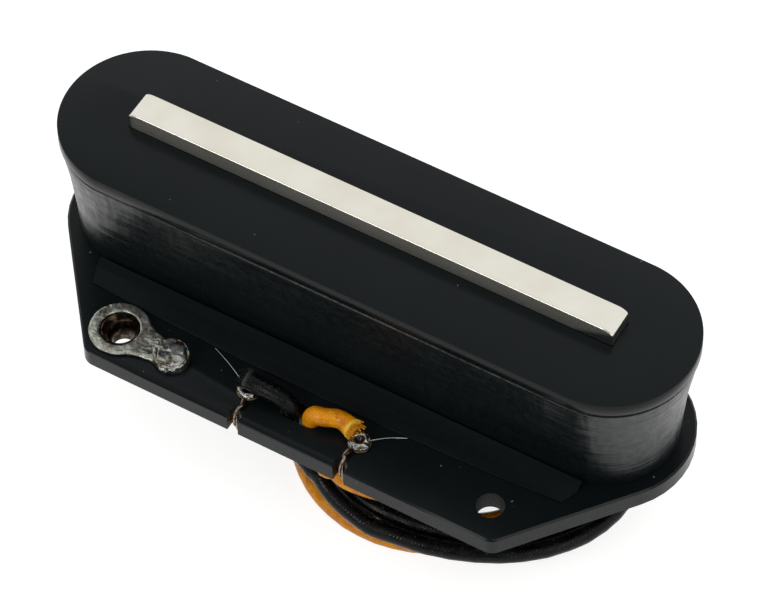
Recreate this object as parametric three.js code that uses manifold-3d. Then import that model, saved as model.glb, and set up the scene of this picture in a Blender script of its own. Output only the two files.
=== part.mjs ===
// A single-coil bridge pickup for an electric guitar, with one steel blade, in millimetres, +Z up.
// The origin is on the underside of the base sheet, under the middle of the blade.
// +X runs along the blade, and -Y is the side with two screw holes, the ground lug and the leads.

import * as THREE from "three";
import { mergeVertices } from "three/addons/utils/BufferGeometryUtils.js";
import Module from "manifold-3d";

const wasm = await Module();
wasm.setup();

// The flatwork: two sheets of black vulcanised fibre that hold the coil between them
const SHEET_LENGTH = 69.5;
const SHEET_WIDTH = 17.8;
const TOP_SHEET_THICKNESS = 1.6;
const BASE_SHEET_THICKNESS = 2.3;
const TOP_FACE_HEIGHT = 17.5;
const SHEET_EDGE_BREAK = 0.2;
const SLOT_CLEARANCE = 0.05;

// The base sheet's wide front side and the ear behind it. The front holes lie in one row, whose
// distance from the blade the rear screw hole has too.
const HOLE_ROW_PAST_SHEET = 5.2;
const FRONT_MARGIN = 3.7;
const FRONT_CORNER_PAST_SCREW = 1.4;
const FRONT_CORNER_RADIUS = 1.6;
const EAR_RADIUS = 4.2;
const EAR_FILLET = 6;

// The three screws that hang the pickup from the bridge
const SCREW_SPACING = 41.8;
const TAPPED_HOLE = 2.85;

// The notches in the front edge, the eyelets behind them and the hole that both leads go down
const NOTCH_INSIDE_EYELET = 0.3;
const NOTCH_WIDTH = 1.2;
const NOTCH_DEPTH = 1.45;
const EYELET_SPACING = 12.6;
const EYELET_BORE = 1.3;
const EYELET_BARREL = 1.9;
const EYELET_FLANGE = 2.4;
const EYELET_FLANGE_THICKNESS = 0.2;
const EYELET_CLEARANCE = 0.05;
const LEAD_HOLE_BEHIND_ROW = 0.2;
const BLACK_LEAD_HOLE_X = -1.5;
const YELLOW_LEAD_HOLE_X = 0.75;
const LEAD_HOLE_CLEARANCE = 0.15;

// The blade and the two bar magnets under the base sheet
const BLADE_TO_SHEET_END = 7.75;
const BLADE_THICKNESS = 3.2;
const BLADE_STANDS_PROUD = 2.05;
const BLADE_CORNER_RADIUS = 1.1;
const BLADE_EDGE_BREAK = 0.3;
const MAGNET_WIDTH = 6.35;
const MAGNET_HEIGHT = 3.2;
const MAGNET_EDGE_BREAK = 0.25;
const MAGNET_CLEARANCE = 0.05;

// The coil: the core's insulation, the copper and the black tape round it
const INSULATION_WALL = 0.65;
const INSULATION_END_WALL = 1.1;
const WAIST_INSET = 1.35;
const TOP_FLARE = 1.2;
const FOOT_FLARE = 1.05;
const FLARE_POWER = 3.2;
const TAPE_THICKNESS = 0.25;
const COIL_CLEARANCE = 0.05;

// The flat strip of tape along the coil's front foot, over the two ends of the coil wire
const FOOT_TAPE_PAST_ROUND_END = 1.55;
const FOOT_TAPE_NEAR_PAST_ROUND_END = 0.85;
const FOOT_TAPE_TO_HOLE_ROW = 2.8;
const FOOT_TAPE_TO_LUG = 0.45;
const FOOT_TAPE_THICKNESS = 0.15;
const FOOT_TAPE_CLEARANCE = 0.05;

// The coil wire's two ends, drawn thicker than the real 0.06 mm
const COIL_WIRE = 0.12;
const COIL_WIRE_HEIGHT = 0.14;
const START_WIRE_X = -11.85;
const FINISH_WIRE_X = 10.05;
const WIRE_TO_JOINT_GAP = 0.12;

// The ground lug on the left screw hole, its bush and the solder in its cup
const LUG_THICKNESS = 0.5;
const LUG_RING_RADIUS = 3.15;
const LUG_HOLE_RADIUS = 2;
const LUG_WAIST_FROM_RING = 4.35;
const LUG_WAIST_HALF_WIDTH = 1.4;
const LUG_CUP_FROM_RING = 6.4;
const LUG_CUP_RADIUS = 1.85;
const LUG_CUP_RIM_HEIGHT = 0.75;
const LUG_CUP_WALL = 0.35;
const LUG_SHIFT = 0.3;
const LUG_TURN = THREE.MathUtils.degToRad(-4.5);
const BUSH_RADIUS = 1.55;
const BUSH_BORE_RADIUS = 1.15;
const BUSH_FLANGE_RADIUS = 2.4;
const BUSH_FLANGE_THICKNESS = 0.4;
const SEAT_GAP = 0.02;
const JOIN_TOLERANCE = 0.0001;

// Solder
const SOLDER_RADIUS = 1.1;
const RIGHT_SOLDER_HEIGHT = 0.7;
const LEFT_SOLDER_HEIGHT = 0.35;
const LUG_SOLDER_HEIGHT = 0.7;
const UNDER_SOLDER_RADIUS = 0.9;
const UNDER_SOLDER_HEIGHT = 0.45;

// The cloth-covered leads
const LEAD_DIAMETER = 1.9;
const CORE_DIAMETER = 0.56;
const LEAD_GAP = 0.3;
const STUB_BEND_RADIUS = 1.3;
const STUB_BEND_STEPS = 3;
const YELLOW_STUB_END_TO_EYELET = 1.2;
const BLACK_STUB_END_TO_EYELET = 0.1;
const BLACK_STUB_RISE = 0.3;
const TIP_LENGTH = 5;
const COIL_PITCH = 2.6;
const LOOP_STEPS = 24;
const LOOP_SIDES = 6;
const CORD_SIDES = 8;

// The loops that the two leads are coiled in under the sheet, the black lead winding in above
// and the yellow one winding out below. Angles are turned from +X towards +Y, and a loop is longer
// along X than its radius by its stretch at both ends.
const BLACK_COIL = {
  x: 9.9,
  y: -1.45,
  z: -6.6,
  startRadius: 15.1,
  stretch: 4.5,
  startAngle: THREE.MathUtils.degToRad(277),
  turns: 1.75,
  growth: -COIL_PITCH,
};
const YELLOW_COIL = {
  x: 7.5,
  y: -2.45,
  z: -8.9,
  startRadius: 12.2,
  stretch: 0,
  startAngle: THREE.MathUtils.degToRad(75),
  turns: 1.125,
  growth: COIL_PITCH,
};

// How each lead turns out of the sheet, as X and Y from its middle in the hole, and height
const YELLOW_UNDER = [
  [0, 0, -0.5],
  [0.2, -0.15, -1.3],
  [0.75, -0.53, -1.85],
  [1.55, -1.05, -2],
];
const BLACK_UNDER = [
  [0, 0, -0.6],
  [0, 0, -1.5],
  [0.1, -0.03, -2.4],
  [0.48, -0.15, -3.25],
  [1.1, -0.35, -3.95],
  [1.9, -0.6, -4.4],
];

// Each lead's route from there to its coil is points chosen by hand.
const YELLOW_RUN = [
  [4.2, -15.4, -2.12],
  [5.3, -15.75, -2.1],
  [6.6, -15.85, -2.05],
  [8.5, -15.65, -2],
  [10.6, -15.25, -2],
  [12.7, -15.25, -2.05],
  [14.8, -15.05, -2.3],
  [16.8, -14.35, -2.8],
  [18.7, -13.15, -3.5],
  [20.3, -11.4, -4.05],
  [21.3, -9.5, -4.38],
  [21.4, -7.7, -4.75],
  [20.6, -6.2, -5.7],
  [19.5, -4.7, -6.5],
  [18.7, -3, -7.15],
  [18.3, -1, -7.8],
  [18.1, 1.2, -8.35],
  [17.3, 3.6, -8.75],
  [15.8, 6.2, -8.88],
];
const BLACK_RUN = [
  [2.3, -15.15, -4.85],
  [3.85, -15.9, -5.3],
  [5.6, -16.38, -5.85],
  [7.4, -16.65, -6.3],
];

// The loose end past each coil: along the lead's way and to its left, from the coil's last point
const BLACK_TAIL = [
  [0, 0],
  [1.5, 0.25],
  [3, 1],
  [4.1, 2.2],
  [4.7, 3.8],
  [4.8, 5.6],
  [4.5, 7.4],
];
const YELLOW_TAIL = [
  [0, 0],
  [1.6, 0.05],
  [3.2, 0],
  [4.8, -0.35],
  [6.3, -1.05],
  [7.6, -2.1],
];

// Places worked out from the sizes above
const END_CENTRE_X = (SHEET_LENGTH - SHEET_WIDTH) / 2;
const END_RADIUS = SHEET_WIDTH / 2;
const TOP_SHEET_UNDERSIDE = TOP_FACE_HEIGHT - TOP_SHEET_THICKNESS;
const BLADE_TOP = TOP_FACE_HEIGHT + BLADE_STANDS_PROUD;
const BLADE_LENGTH = SHEET_LENGTH - 2 * BLADE_TO_SHEET_END;
const HOLE_ROW = END_RADIUS + HOLE_ROW_PAST_SHEET;
const LEAD_HOLE_ROW = HOLE_ROW - LEAD_HOLE_BEHIND_ROW;
const FRONT_EDGE = HOLE_ROW + FRONT_MARGIN;
const SCREW_X = SCREW_SPACING / 2;
const FRONT_CORNER_X = SCREW_X + FRONT_CORNER_PAST_SCREW;
const EYELET_X = EYELET_SPACING / 2;
const NOTCH_X = EYELET_X - NOTCH_INSIDE_EYELET;
const LEAD_RADIUS = LEAD_DIAMETER / 2;
const CORE_RADIUS = CORE_DIAMETER / 2;
const EYELET_TOP = BASE_SHEET_THICKNESS + EYELET_FLANGE_THICKNESS;
const FULL_TURN = 2 * Math.PI;
const QUARTER_TURN = Math.PI / 2;
const ARC_STEP = Math.PI / 20;

// Points of an arc of a circle, both ends included
function arc(x, y, radius, from, to) {
  const count = Math.max(2, Math.ceil(Math.abs(to - from) / ARC_STEP));
  return Array.from({ length: count + 1 }, (_, i) => {
    const angle = from + ((to - from) * i) / count;
    return new THREE.Vector2(x + radius * Math.cos(angle), y + radius * Math.sin(angle));
  });
}

// A long hole or sheet with round ends, along X
function stadium(x, y, halfStraight, radius) {
  return [
    ...arc(x + halfStraight, y, radius, -QUARTER_TURN, QUARTER_TURN),
    ...arc(x - halfStraight, y, radius, QUARTER_TURN, QUARTER_TURN + Math.PI),
  ];
}

function rectangle(halfX, halfY) {
  return [
    new THREE.Vector2(-halfX, -halfY),
    new THREE.Vector2(halfX, -halfY),
    new THREE.Vector2(halfX, halfY),
    new THREE.Vector2(-halfX, halfY),
  ];
}

// The holes of a sheet are given as rings of points.
function sheet(outline, holes, bottom, thickness, edgeBreak) {
  const shape = new THREE.Shape(outline);
  shape.holes = holes.map((ring) => new THREE.Path(ring));
  const geometry = new THREE.ExtrudeGeometry(shape, {
    depth: thickness - 2 * edgeBreak,
    bevelEnabled: edgeBreak > 0,
    bevelThickness: edgeBreak,
    bevelSize: edgeBreak,
    bevelOffset: -edgeBreak,
    bevelSegments: 1,
  });
  return geometry.translate(0, 0, bottom + edgeBreak);
}

// A turned piece from a ring of [radius, height] points that closes on itself or on the axis
function turned(points, x, y, segments = 24) {
  const profile = points.map(([radius, height]) => new THREE.Vector2(radius, height));
  const geometry = new THREE.LatheGeometry(profile, segments);
  return geometry.rotateX(QUARTER_TURN).translate(x, y, 0);
}

// A round wire or cord along a curve
function tube(curve, radius, sides, steps) {
  const section = new THREE.Shape(
    Array.from({ length: sides }, (_, i) => {
      const angle = (FULL_TURN * i) / sides;
      return new THREE.Vector2(radius * Math.cos(angle), radius * Math.sin(angle));
    }),
  );
  return new THREE.ExtrudeGeometry(section, { steps, extrudePath: curve });
}

function smoothCurve(points) {
  const places = points.map((point) => (point.isVector3 ? point : new THREE.Vector3(...point)));
  return new THREE.CatmullRomCurve3(places, false, "centripetal");
}

// A closed profile carried round the coil. Each point has its radius, its height and the X of the
// centre that the coil's round end has there.
function wound(profile) {
  const stations = [];
  for (const [side, from] of [[1, -QUARTER_TURN], [-1, QUARTER_TURN]]) {
    const count = Math.round(Math.PI / ARC_STEP);
    for (let i = 0; i <= count; i++) {
      stations.push([side, from + (Math.PI * i) / count]);
    }
  }
  const positions = stations.flatMap(([side, angle]) =>
    profile.flatMap(([radius, height, centreX]) => [
      side * centreX + radius * Math.cos(angle),
      radius * Math.sin(angle),
      height,
    ]),
  );
  const rows = profile.length;
  const index = [];
  for (let s = 0; s < stations.length; s++) {
    const next = (s + 1) % stations.length;
    for (let r = 0; r < rows; r++) {
      const up = (r + 1) % rows;
      const corners = [s * rows + r, next * rows + r, next * rows + up, s * rows + up];
      index.push(corners[0], corners[1], corners[2], corners[0], corners[2], corners[3]);
    }
  }
  const geometry = new THREE.BufferGeometry();
  geometry.setAttribute("position", new THREE.Float32BufferAttribute(positions, 3));
  geometry.setIndex(index);
  return geometry;
}

// Joins and cuts, with only positions kept
function solidOf(geometry) {
  const bare = geometry.clone();
  bare.deleteAttribute("normal");
  bare.deleteAttribute("uv");
  const merged = mergeVertices(bare, JOIN_TOLERANCE);
  return new wasm.Manifold(
    new wasm.Mesh({
      numProp: 3,
      vertProperties: new Float32Array(merged.attributes.position.array),
      triVerts: new Uint32Array(merged.index.array),
    }),
  );
}

function geometryOf(solid) {
  const mesh = solid.getMesh();
  const geometry = new THREE.BufferGeometry();
  geometry.setAttribute("position", new THREE.Float32BufferAttribute(mesh.vertProperties, 3));
  geometry.setIndex(new THREE.Uint32BufferAttribute(mesh.triVerts, 1));
  return geometry;
}

// Materials
function material(color, roughness, metalness = 0) {
  return new THREE.MeshStandardMaterial({ color, roughness, metalness });
}

const fibre = material("#1f2324", 0.45);
const steel = material("#d6d3c8", 0.25, 1);
const ferrite = material("#3a3b3d", 0.7, 0.3);
const copper = material("#a5552a", 0.4, 1);
const paper = material("#8a7a58", 0.9);
const tape = material("#15181a", 0.3);
const tinned = material("#8d8f8a", 0.35, 1);
const brass = material("#7a6a45", 0.45, 1);
const solder = material("#b9bab6", 0.3, 1);
const blackCloth = material("#191b1c", 0.85);
const yellowCloth = material("#d08a1c", 0.85);

const pickup = new THREE.Group();

function add(name, geometry, surface) {
  const mesh = new THREE.Mesh(geometry, surface);
  mesh.name = name;
  pickup.add(mesh);
}

// The flatwork. The base sheet's outline goes round anticlockwise from its left front corner.
function outwardAngle(from, to) {
  const away = to.centre.clone().sub(from.centre);
  return away.angle() - Math.acos((from.radius - to.radius) / away.length());
}

function baseOutline() {
  const leftCorner = {
    centre: new THREE.Vector2(-FRONT_CORNER_X, FRONT_CORNER_RADIUS - FRONT_EDGE),
    radius: FRONT_CORNER_RADIUS,
  };
  const rightCorner = { centre: leftCorner.centre.clone().setX(FRONT_CORNER_X), radius: FRONT_CORNER_RADIUS };
  const rightEnd = { centre: new THREE.Vector2(END_CENTRE_X, 0), radius: END_RADIUS };
  const sideAngle = outwardAngle(rightCorner, rightEnd);
  const earY = HOLE_ROW;
  const filletY = END_RADIUS + EAR_FILLET;
  const filletX = Math.sqrt((EAR_FILLET + EAR_RADIUS) ** 2 - (filletY - earY) ** 2);
  const earAngle = Math.atan2(filletY - earY, filletX);
  const notch = (x) => arc(x, NOTCH_DEPTH - NOTCH_WIDTH / 2 - FRONT_EDGE, NOTCH_WIDTH / 2, Math.PI, 0);
  const notchMouth = (x) => new THREE.Vector2(x, -FRONT_EDGE);
  return [
    ...arc(-FRONT_CORNER_X, leftCorner.centre.y, FRONT_CORNER_RADIUS, -Math.PI - sideAngle, -QUARTER_TURN),
    notchMouth(-NOTCH_X - NOTCH_WIDTH / 2),
    ...notch(-NOTCH_X),
    notchMouth(-NOTCH_X + NOTCH_WIDTH / 2),
    notchMouth(NOTCH_X - NOTCH_WIDTH / 2),
    ...notch(NOTCH_X),
    notchMouth(NOTCH_X + NOTCH_WIDTH / 2),
    ...arc(FRONT_CORNER_X, rightCorner.centre.y, FRONT_CORNER_RADIUS, -QUARTER_TURN, sideAngle),
    ...arc(END_CENTRE_X, 0, END_RADIUS, sideAngle, QUARTER_TURN),
    ...arc(filletX, filletY, EAR_FILLET, -QUARTER_TURN, earAngle - Math.PI),
    ...arc(0, earY, EAR_RADIUS, earAngle, Math.PI - earAngle).slice(1, -1),
    ...arc(-filletX, filletY, EAR_FILLET, -earAngle, -QUARTER_TURN),
    ...arc(-END_CENTRE_X, 0, END_RADIUS, QUARTER_TURN, Math.PI - sideAngle),
  ];
}

const bladeSlot = rectangle(BLADE_LENGTH / 2 + SLOT_CLEARANCE, BLADE_THICKNESS / 2 + SLOT_CLEARANCE);
const eyeletHole = EYELET_BARREL / 2 + EYELET_CLEARANCE;
const leadHoleMiddle = (BLACK_LEAD_HOLE_X + YELLOW_LEAD_HOLE_X) / 2;
const leadHoleHalfStraight = (YELLOW_LEAD_HOLE_X - BLACK_LEAD_HOLE_X) / 2;
const baseHoles = [
  bladeSlot,
  arc(-SCREW_X, -HOLE_ROW, BUSH_RADIUS + SLOT_CLEARANCE, 0, FULL_TURN).slice(1),
  arc(SCREW_X, -HOLE_ROW, TAPPED_HOLE / 2, 0, FULL_TURN).slice(1),
  arc(0, HOLE_ROW, TAPPED_HOLE / 2, 0, FULL_TURN).slice(1),
  arc(-EYELET_X, -HOLE_ROW, eyeletHole, 0, FULL_TURN).slice(1),
  arc(EYELET_X, -HOLE_ROW, eyeletHole, 0, FULL_TURN).slice(1),
  stadium(leadHoleMiddle, -LEAD_HOLE_ROW, leadHoleHalfStraight, LEAD_RADIUS + LEAD_HOLE_CLEARANCE),
];

// The sheets are punched with plain holes and their outer edges are broken, so the holes are cut afterwards.
function punched(outline, holes, bottom, thickness) {
  const blank = solidOf(sheet(outline, [], bottom, thickness, SHEET_EDGE_BREAK));
  const cut = holes.reduce((solid, ring) => {
    const punch = sheet(ring, [], bottom - SHEET_EDGE_BREAK, thickness + 2 * SHEET_EDGE_BREAK, 0);
    return solid.subtract(solidOf(punch));
  }, blank);
  return geometryOf(cut);
}

add("top_flatwork", punched(
  stadium(0, 0, END_CENTRE_X, END_RADIUS), [bladeSlot], TOP_SHEET_UNDERSIDE, TOP_SHEET_THICKNESS), fibre);
add("base_flatwork", punched(baseOutline(), baseHoles, 0, BASE_SHEET_THICKNESS), fibre);

// The blade stands on edge through both sheets, down to the bottom of the magnets.
function bladeGeometry() {
  const halfLength = BLADE_LENGTH / 2;
  const corner = halfLength - BLADE_CORNER_RADIUS;
  const side = [
    new THREE.Vector2(-halfLength, -MAGNET_HEIGHT),
    new THREE.Vector2(halfLength, -MAGNET_HEIGHT),
    ...arc(corner, BLADE_TOP - BLADE_CORNER_RADIUS, BLADE_CORNER_RADIUS, 0, QUARTER_TURN),
    ...arc(-corner, BLADE_TOP - BLADE_CORNER_RADIUS, BLADE_CORNER_RADIUS, QUARTER_TURN, Math.PI),
  ];
  const geometry = sheet(side, [], -BLADE_THICKNESS / 2, BLADE_THICKNESS, BLADE_EDGE_BREAK);
  return geometry.rotateX(QUARTER_TURN);
}
add("blade", bladeGeometry(), steel);

// The magnets lie flat under the base sheet, one on each side of the blade's foot.
const magnetCentreY = BLADE_THICKNESS / 2 + MAGNET_CLEARANCE + MAGNET_WIDTH / 2;
for (const [name, side] of [["front_bar_magnet", -1], ["rear_bar_magnet", 1]]) {
  const outline = rectangle(BLADE_LENGTH / 2, MAGNET_WIDTH / 2);
  const bar = sheet(outline, [], -MAGNET_HEIGHT, MAGNET_HEIGHT - SEAT_GAP, MAGNET_EDGE_BREAK);
  add(name, bar.translate(0, side * magnetCentreY, 0), ferrite);
}

// The coil: insulation round the blade, then the copper, then the tape with its flared top and foot
const coilBottom = BASE_SHEET_THICKNESS + COIL_CLEARANCE;
const coilTop = TOP_SHEET_UNDERSIDE - COIL_CLEARANCE;
const coilMiddle = (coilBottom + coilTop) / 2;
const coilHalfHeight = (coilTop - coilBottom) / 2;
const insulationRadius = BLADE_THICKNESS / 2 + SLOT_CLEARANCE + INSULATION_WALL;
const insulationCentreX = BLADE_LENGTH / 2 + SLOT_CLEARANCE + INSULATION_END_WALL - insulationRadius;

function coilRadius(height) {
  const share = (height - coilMiddle) / coilHalfHeight;
  const flare = share > 0 ? TOP_FLARE : FOOT_FLARE;
  return END_RADIUS - WAIST_INSET + flare * Math.abs(share) ** FLARE_POWER;
}

const COIL_ROWS = 12;
function coilSide(inset) {
  return Array.from({ length: COIL_ROWS + 1 }, (_, i) => {
    const height = coilBottom + ((coilTop - coilBottom) * i) / COIL_ROWS;
    return [coilRadius(height) - inset, height, END_CENTRE_X];
  });
}

const insulationOutline = stadium(0, 0, insulationCentreX, insulationRadius);
add("core_insulation", sheet(insulationOutline, [bladeSlot], coilBottom, coilTop - coilBottom, 0), paper);
add("coil_winding", wound([
  ...coilSide(TAPE_THICKNESS + COIL_CLEARANCE),
  [insulationRadius + COIL_CLEARANCE, coilTop, insulationCentreX],
  [insulationRadius + COIL_CLEARANCE, coilBottom, insulationCentreX],
]), copper);
add("coil_tape", wound([...coilSide(0), ...coilSide(TAPE_THICKNESS).reverse()]), tape);

// The strip along the front foot bows out a little in its middle, and its ends are cut at a slant.
const footTapeEdge = HOLE_ROW - FOOT_TAPE_TO_HOLE_ROW;
function footTape() {
  const far = coilRadius(coilBottom) + FOOT_TAPE_CLEARANCE;
  const farX = END_CENTRE_X + FOOT_TAPE_PAST_ROUND_END;
  const nearX = END_CENTRE_X + FOOT_TAPE_NEAR_PAST_ROUND_END;
  const endEdge = HOLE_ROW - LUG_RING_RADIUS - FOOT_TAPE_TO_LUG;
  const bow = new THREE.QuadraticBezierCurve(
    new THREE.Vector2(-nearX, -endEdge),
    new THREE.Vector2(0, endEdge - 2 * footTapeEdge),
    new THREE.Vector2(nearX, -endEdge),
  );
  const bowSegments = 12;
  const outline = [
    ...bow.getPoints(bowSegments),
    new THREE.Vector2(farX, -far),
    new THREE.Vector2(-farX, -far),
  ];
  return sheet(outline, [], BASE_SHEET_THICKNESS + SEAT_GAP, FOOT_TAPE_THICKNESS, 0);
}
add("foot_tape", footTape(), tape);

// The ground lug: a ring, a waisted neck and a cup with a raised rim
const lugX = -SCREW_X - LUG_SHIFT;
const lugY = -HOLE_ROW;
const lugBottom = BASE_SHEET_THICKNESS + SEAT_GAP;
const cupX = lugX + LUG_CUP_FROM_RING * Math.cos(LUG_TURN);
const cupY = lugY + LUG_CUP_FROM_RING * Math.sin(LUG_TURN);

function lugGeometry() {
  const edgeBreak = LUG_THICKNESS / 5;
  const neckStart = THREE.MathUtils.degToRad(42);
  const cupStart = THREE.MathUtils.degToRad(128);
  const ringEdge = arc(0, 0, LUG_RING_RADIUS, neckStart, FULL_TURN - neckStart);
  const cupEdge = arc(LUG_CUP_FROM_RING, 0, LUG_CUP_RADIUS, -cupStart, cupStart);
  const neck = (side, from, to) =>
    new THREE.QuadraticBezierCurve(
      from,
      new THREE.Vector2(LUG_WAIST_FROM_RING, side * LUG_WAIST_HALF_WIDTH),
      to,
    ).getPoints(6).slice(1, -1);
  const outline = [
    ...ringEdge,
    ...neck(-1, ringEdge.at(-1), cupEdge[0]),
    ...cupEdge,
    ...neck(1, cupEdge.at(-1), ringEdge[0]),
  ];
  const hole = arc(0, 0, LUG_HOLE_RADIUS, 0, FULL_TURN).slice(1);
  const flat = solidOf(sheet(outline, [hole], lugBottom, LUG_THICKNESS, edgeBreak));
  const inner = LUG_CUP_RADIUS - LUG_CUP_WALL;
  const rimTop = lugBottom + LUG_THICKNESS + LUG_CUP_RIM_HEIGHT;
  const rim = turned([
    [LUG_CUP_RADIUS, lugBottom + edgeBreak],
    [LUG_CUP_RADIUS, rimTop - edgeBreak],
    [LUG_CUP_RADIUS - LUG_CUP_WALL / 2, rimTop],
    [inner, rimTop - edgeBreak],
    [inner, lugBottom + edgeBreak],
    [LUG_CUP_RADIUS, lugBottom + edgeBreak],
  ], LUG_CUP_FROM_RING, 0);
  const geometry = geometryOf(flat.add(solidOf(rim)));
  return geometry.rotateZ(LUG_TURN).translate(lugX, lugY, 0);
}
add("ground_lug", lugGeometry(), tinned);

// The bush lines the left screw hole from below, and its flange bears on the sheet's underside.
add("lug_bush", turned([
  [BUSH_BORE_RADIUS, -BUSH_FLANGE_THICKNESS],
  [BUSH_FLANGE_RADIUS, -BUSH_FLANGE_THICKNESS],
  [BUSH_FLANGE_RADIUS, -SEAT_GAP],
  [BUSH_RADIUS, -SEAT_GAP],
  [BUSH_RADIUS, BASE_SHEET_THICKNESS],
  [BUSH_BORE_RADIUS, BASE_SHEET_THICKNESS],
  [BUSH_BORE_RADIUS, -BUSH_FLANGE_THICKNESS],
], -SCREW_X, -HOLE_ROW), brass);

// A rounded lump of solder from a flat foot, as shares of its radius and height
const DOME_SHARES = [[1, 0], [0.97, 0.3], [0.82, 0.65], [0.5, 0.92], [0, 1]];
function solderDome(radius, height, foot) {
  return DOME_SHARES.map(([across, up]) => [radius * across, foot + height * up]);
}

const cupFloor = lugBottom + LUG_THICKNESS + SEAT_GAP;
const lugSolderRadius = LUG_CUP_RADIUS - LUG_CUP_WALL - SLOT_CLEARANCE;
add("lug_solder", turned([
  [0, cupFloor],
  ...solderDome(lugSolderRadius, LUG_SOLDER_HEIGHT, cupFloor),
], cupX, cupY), solder);

// The eyelets are rolled over on both faces of the sheet, and solder fills their bores.
const eyelets = [["left", -EYELET_X, LEFT_SOLDER_HEIGHT], ["right", EYELET_X, RIGHT_SOLDER_HEIGHT]];
for (const [side, x, solderHeight] of eyelets) {
  const bore = EYELET_BORE / 2;
  const barrel = EYELET_BARREL / 2;
  const flange = EYELET_FLANGE / 2;
  add(side + "_eyelet", turned([
    [bore, -EYELET_FLANGE_THICKNESS],
    [flange, -EYELET_FLANGE_THICKNESS],
    [flange, -SEAT_GAP],
    [barrel, -SEAT_GAP],
    [barrel, BASE_SHEET_THICKNESS + SEAT_GAP],
    [flange, BASE_SHEET_THICKNESS + SEAT_GAP],
    [flange, EYELET_TOP],
    [bore, EYELET_TOP],
    [bore, -EYELET_FLANGE_THICKNESS],
  ], x, -HOLE_ROW), brass);
  const foot = EYELET_TOP + SEAT_GAP;
  add(side + "_solder_joint", turned([
    ...solderDome(UNDER_SOLDER_RADIUS, -UNDER_SOLDER_HEIGHT, -EYELET_FLANGE_THICKNESS - SEAT_GAP).reverse(),
    [bore - EYELET_CLEARANCE, -EYELET_FLANGE_THICKNESS - SEAT_GAP],
    [bore - EYELET_CLEARANCE, foot],
    ...solderDome(SOLDER_RADIUS, solderHeight, foot),
  ], x, -HOLE_ROW), solder);
}

// The coil wire's ends come out from under the strip and run to the solder joints.
function coilWire(startX, eyeletX) {
  const startHeight = BASE_SHEET_THICKNESS + COIL_WIRE_HEIGHT;
  const start = new THREE.Vector3(startX, -footTapeEdge - COIL_WIRE, startHeight);
  const joint = new THREE.Vector3(eyeletX, -HOLE_ROW, EYELET_TOP + LEFT_SOLDER_HEIGHT / 2);
  const reach = joint.distanceTo(start);
  const end = start.clone().lerp(joint, 1 - (SOLDER_RADIUS + WIRE_TO_JOINT_GAP) / reach);
  return tube(new THREE.LineCurve3(start, end), COIL_WIRE / 2, LOOP_SIDES, 2);
}
add("coil_start_wire", coilWire(START_WIRE_X, -EYELET_X), copper);
add("coil_finish_wire", coilWire(FINISH_WIRE_X, EYELET_X), copper);

// A lead's stub lies on the sheet from its eyelet to the hole, goes down through it and turns away below.
function stubCurve(holeX, end, lift, under) {
  const side = Math.sign(end[0] - holeX);
  const low = BASE_SHEET_THICKNESS + LEAD_GAP + LEAD_RADIUS;
  const bend = Array.from({ length: STUB_BEND_STEPS + 1 }, (_, i) => {
    const angle = QUARTER_TURN * (1 - i / STUB_BEND_STEPS);
    return [
      holeX + side * STUB_BEND_RADIUS * (1 - Math.cos(angle)),
      -LEAD_HOLE_ROW,
      low - STUB_BEND_RADIUS * (1 - Math.sin(angle)),
    ];
  });
  const bendEnd = bend[0];
  const middle = [(bendEnd[0] + end[0]) / 2, (bendEnd[1] + end[1]) / 2 + lift, (low + end[2]) / 2];
  const below = under.map(([x, y, z]) => [holeX + x, y - LEAD_HOLE_ROW, z]);
  return smoothCurve([end, middle, ...bend, ...below]);
}
const stubHeight = BASE_SHEET_THICKNESS + LEAD_GAP + LEAD_RADIUS;
const yellowBow = LEAD_RADIUS / 2;
const STUB_STEPS = 26;
const yellowStub = stubCurve(
  YELLOW_LEAD_HOLE_X,
  [EYELET_X - YELLOW_STUB_END_TO_EYELET, -LEAD_HOLE_ROW + LEAD_RADIUS / 4, stubHeight],
  yellowBow,
  YELLOW_UNDER,
);
const blackStub = stubCurve(
  BLACK_LEAD_HOLE_X,
  [-EYELET_X + BLACK_STUB_END_TO_EYELET, -LEAD_HOLE_ROW, stubHeight + BLACK_STUB_RISE],
  0,
  BLACK_UNDER,
);
add("yellow_lead_stub", tube(yellowStub, LEAD_RADIUS, CORD_SIDES, STUB_STEPS), yellowCloth);
add("black_lead_stub", tube(blackStub, LEAD_RADIUS, CORD_SIDES, STUB_STEPS), blackCloth);

// The bare core goes from the solder joint down its notch and back under the sheet to the eyelet's foot.
const coreOnSheet = BASE_SHEET_THICKNESS + CORE_DIAMETER / 4 + CORE_RADIUS;
const coreUnderSheet = -EYELET_FLANGE_THICKNESS - 2 * SEAT_GAP - CORE_RADIUS;
const notchInside = -FRONT_EDGE + NOTCH_DEPTH / 2;
const jointEdge = -HOLE_ROW - SOLDER_RADIUS - WIRE_TO_JOINT_GAP;
const underJointEdge = -HOLE_ROW - UNDER_SOLDER_RADIUS - WIRE_TO_JOINT_GAP;

function core(side) {
  const x = side * NOTCH_X;
  const curve = smoothCurve([
    [x, jointEdge, coreOnSheet],
    [x - side * CORE_RADIUS / 2, (jointEdge + notchInside) / 2, coreOnSheet],
    [x, notchInside + CORE_DIAMETER, coreOnSheet],
    [x, notchInside, BASE_SHEET_THICKNESS - CORE_RADIUS],
    [x, notchInside, CORE_RADIUS],
    [x, notchInside + CORE_DIAMETER, coreUnderSheet],
    [x + side * CORE_RADIUS / 2, underJointEdge, coreUnderSheet],
  ]);
  return tube(curve, CORE_RADIUS, CORD_SIDES, 24);
}
add("yellow_lead_core", core(1), tinned);
add("black_lead_core", core(-1), tinned);

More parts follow.
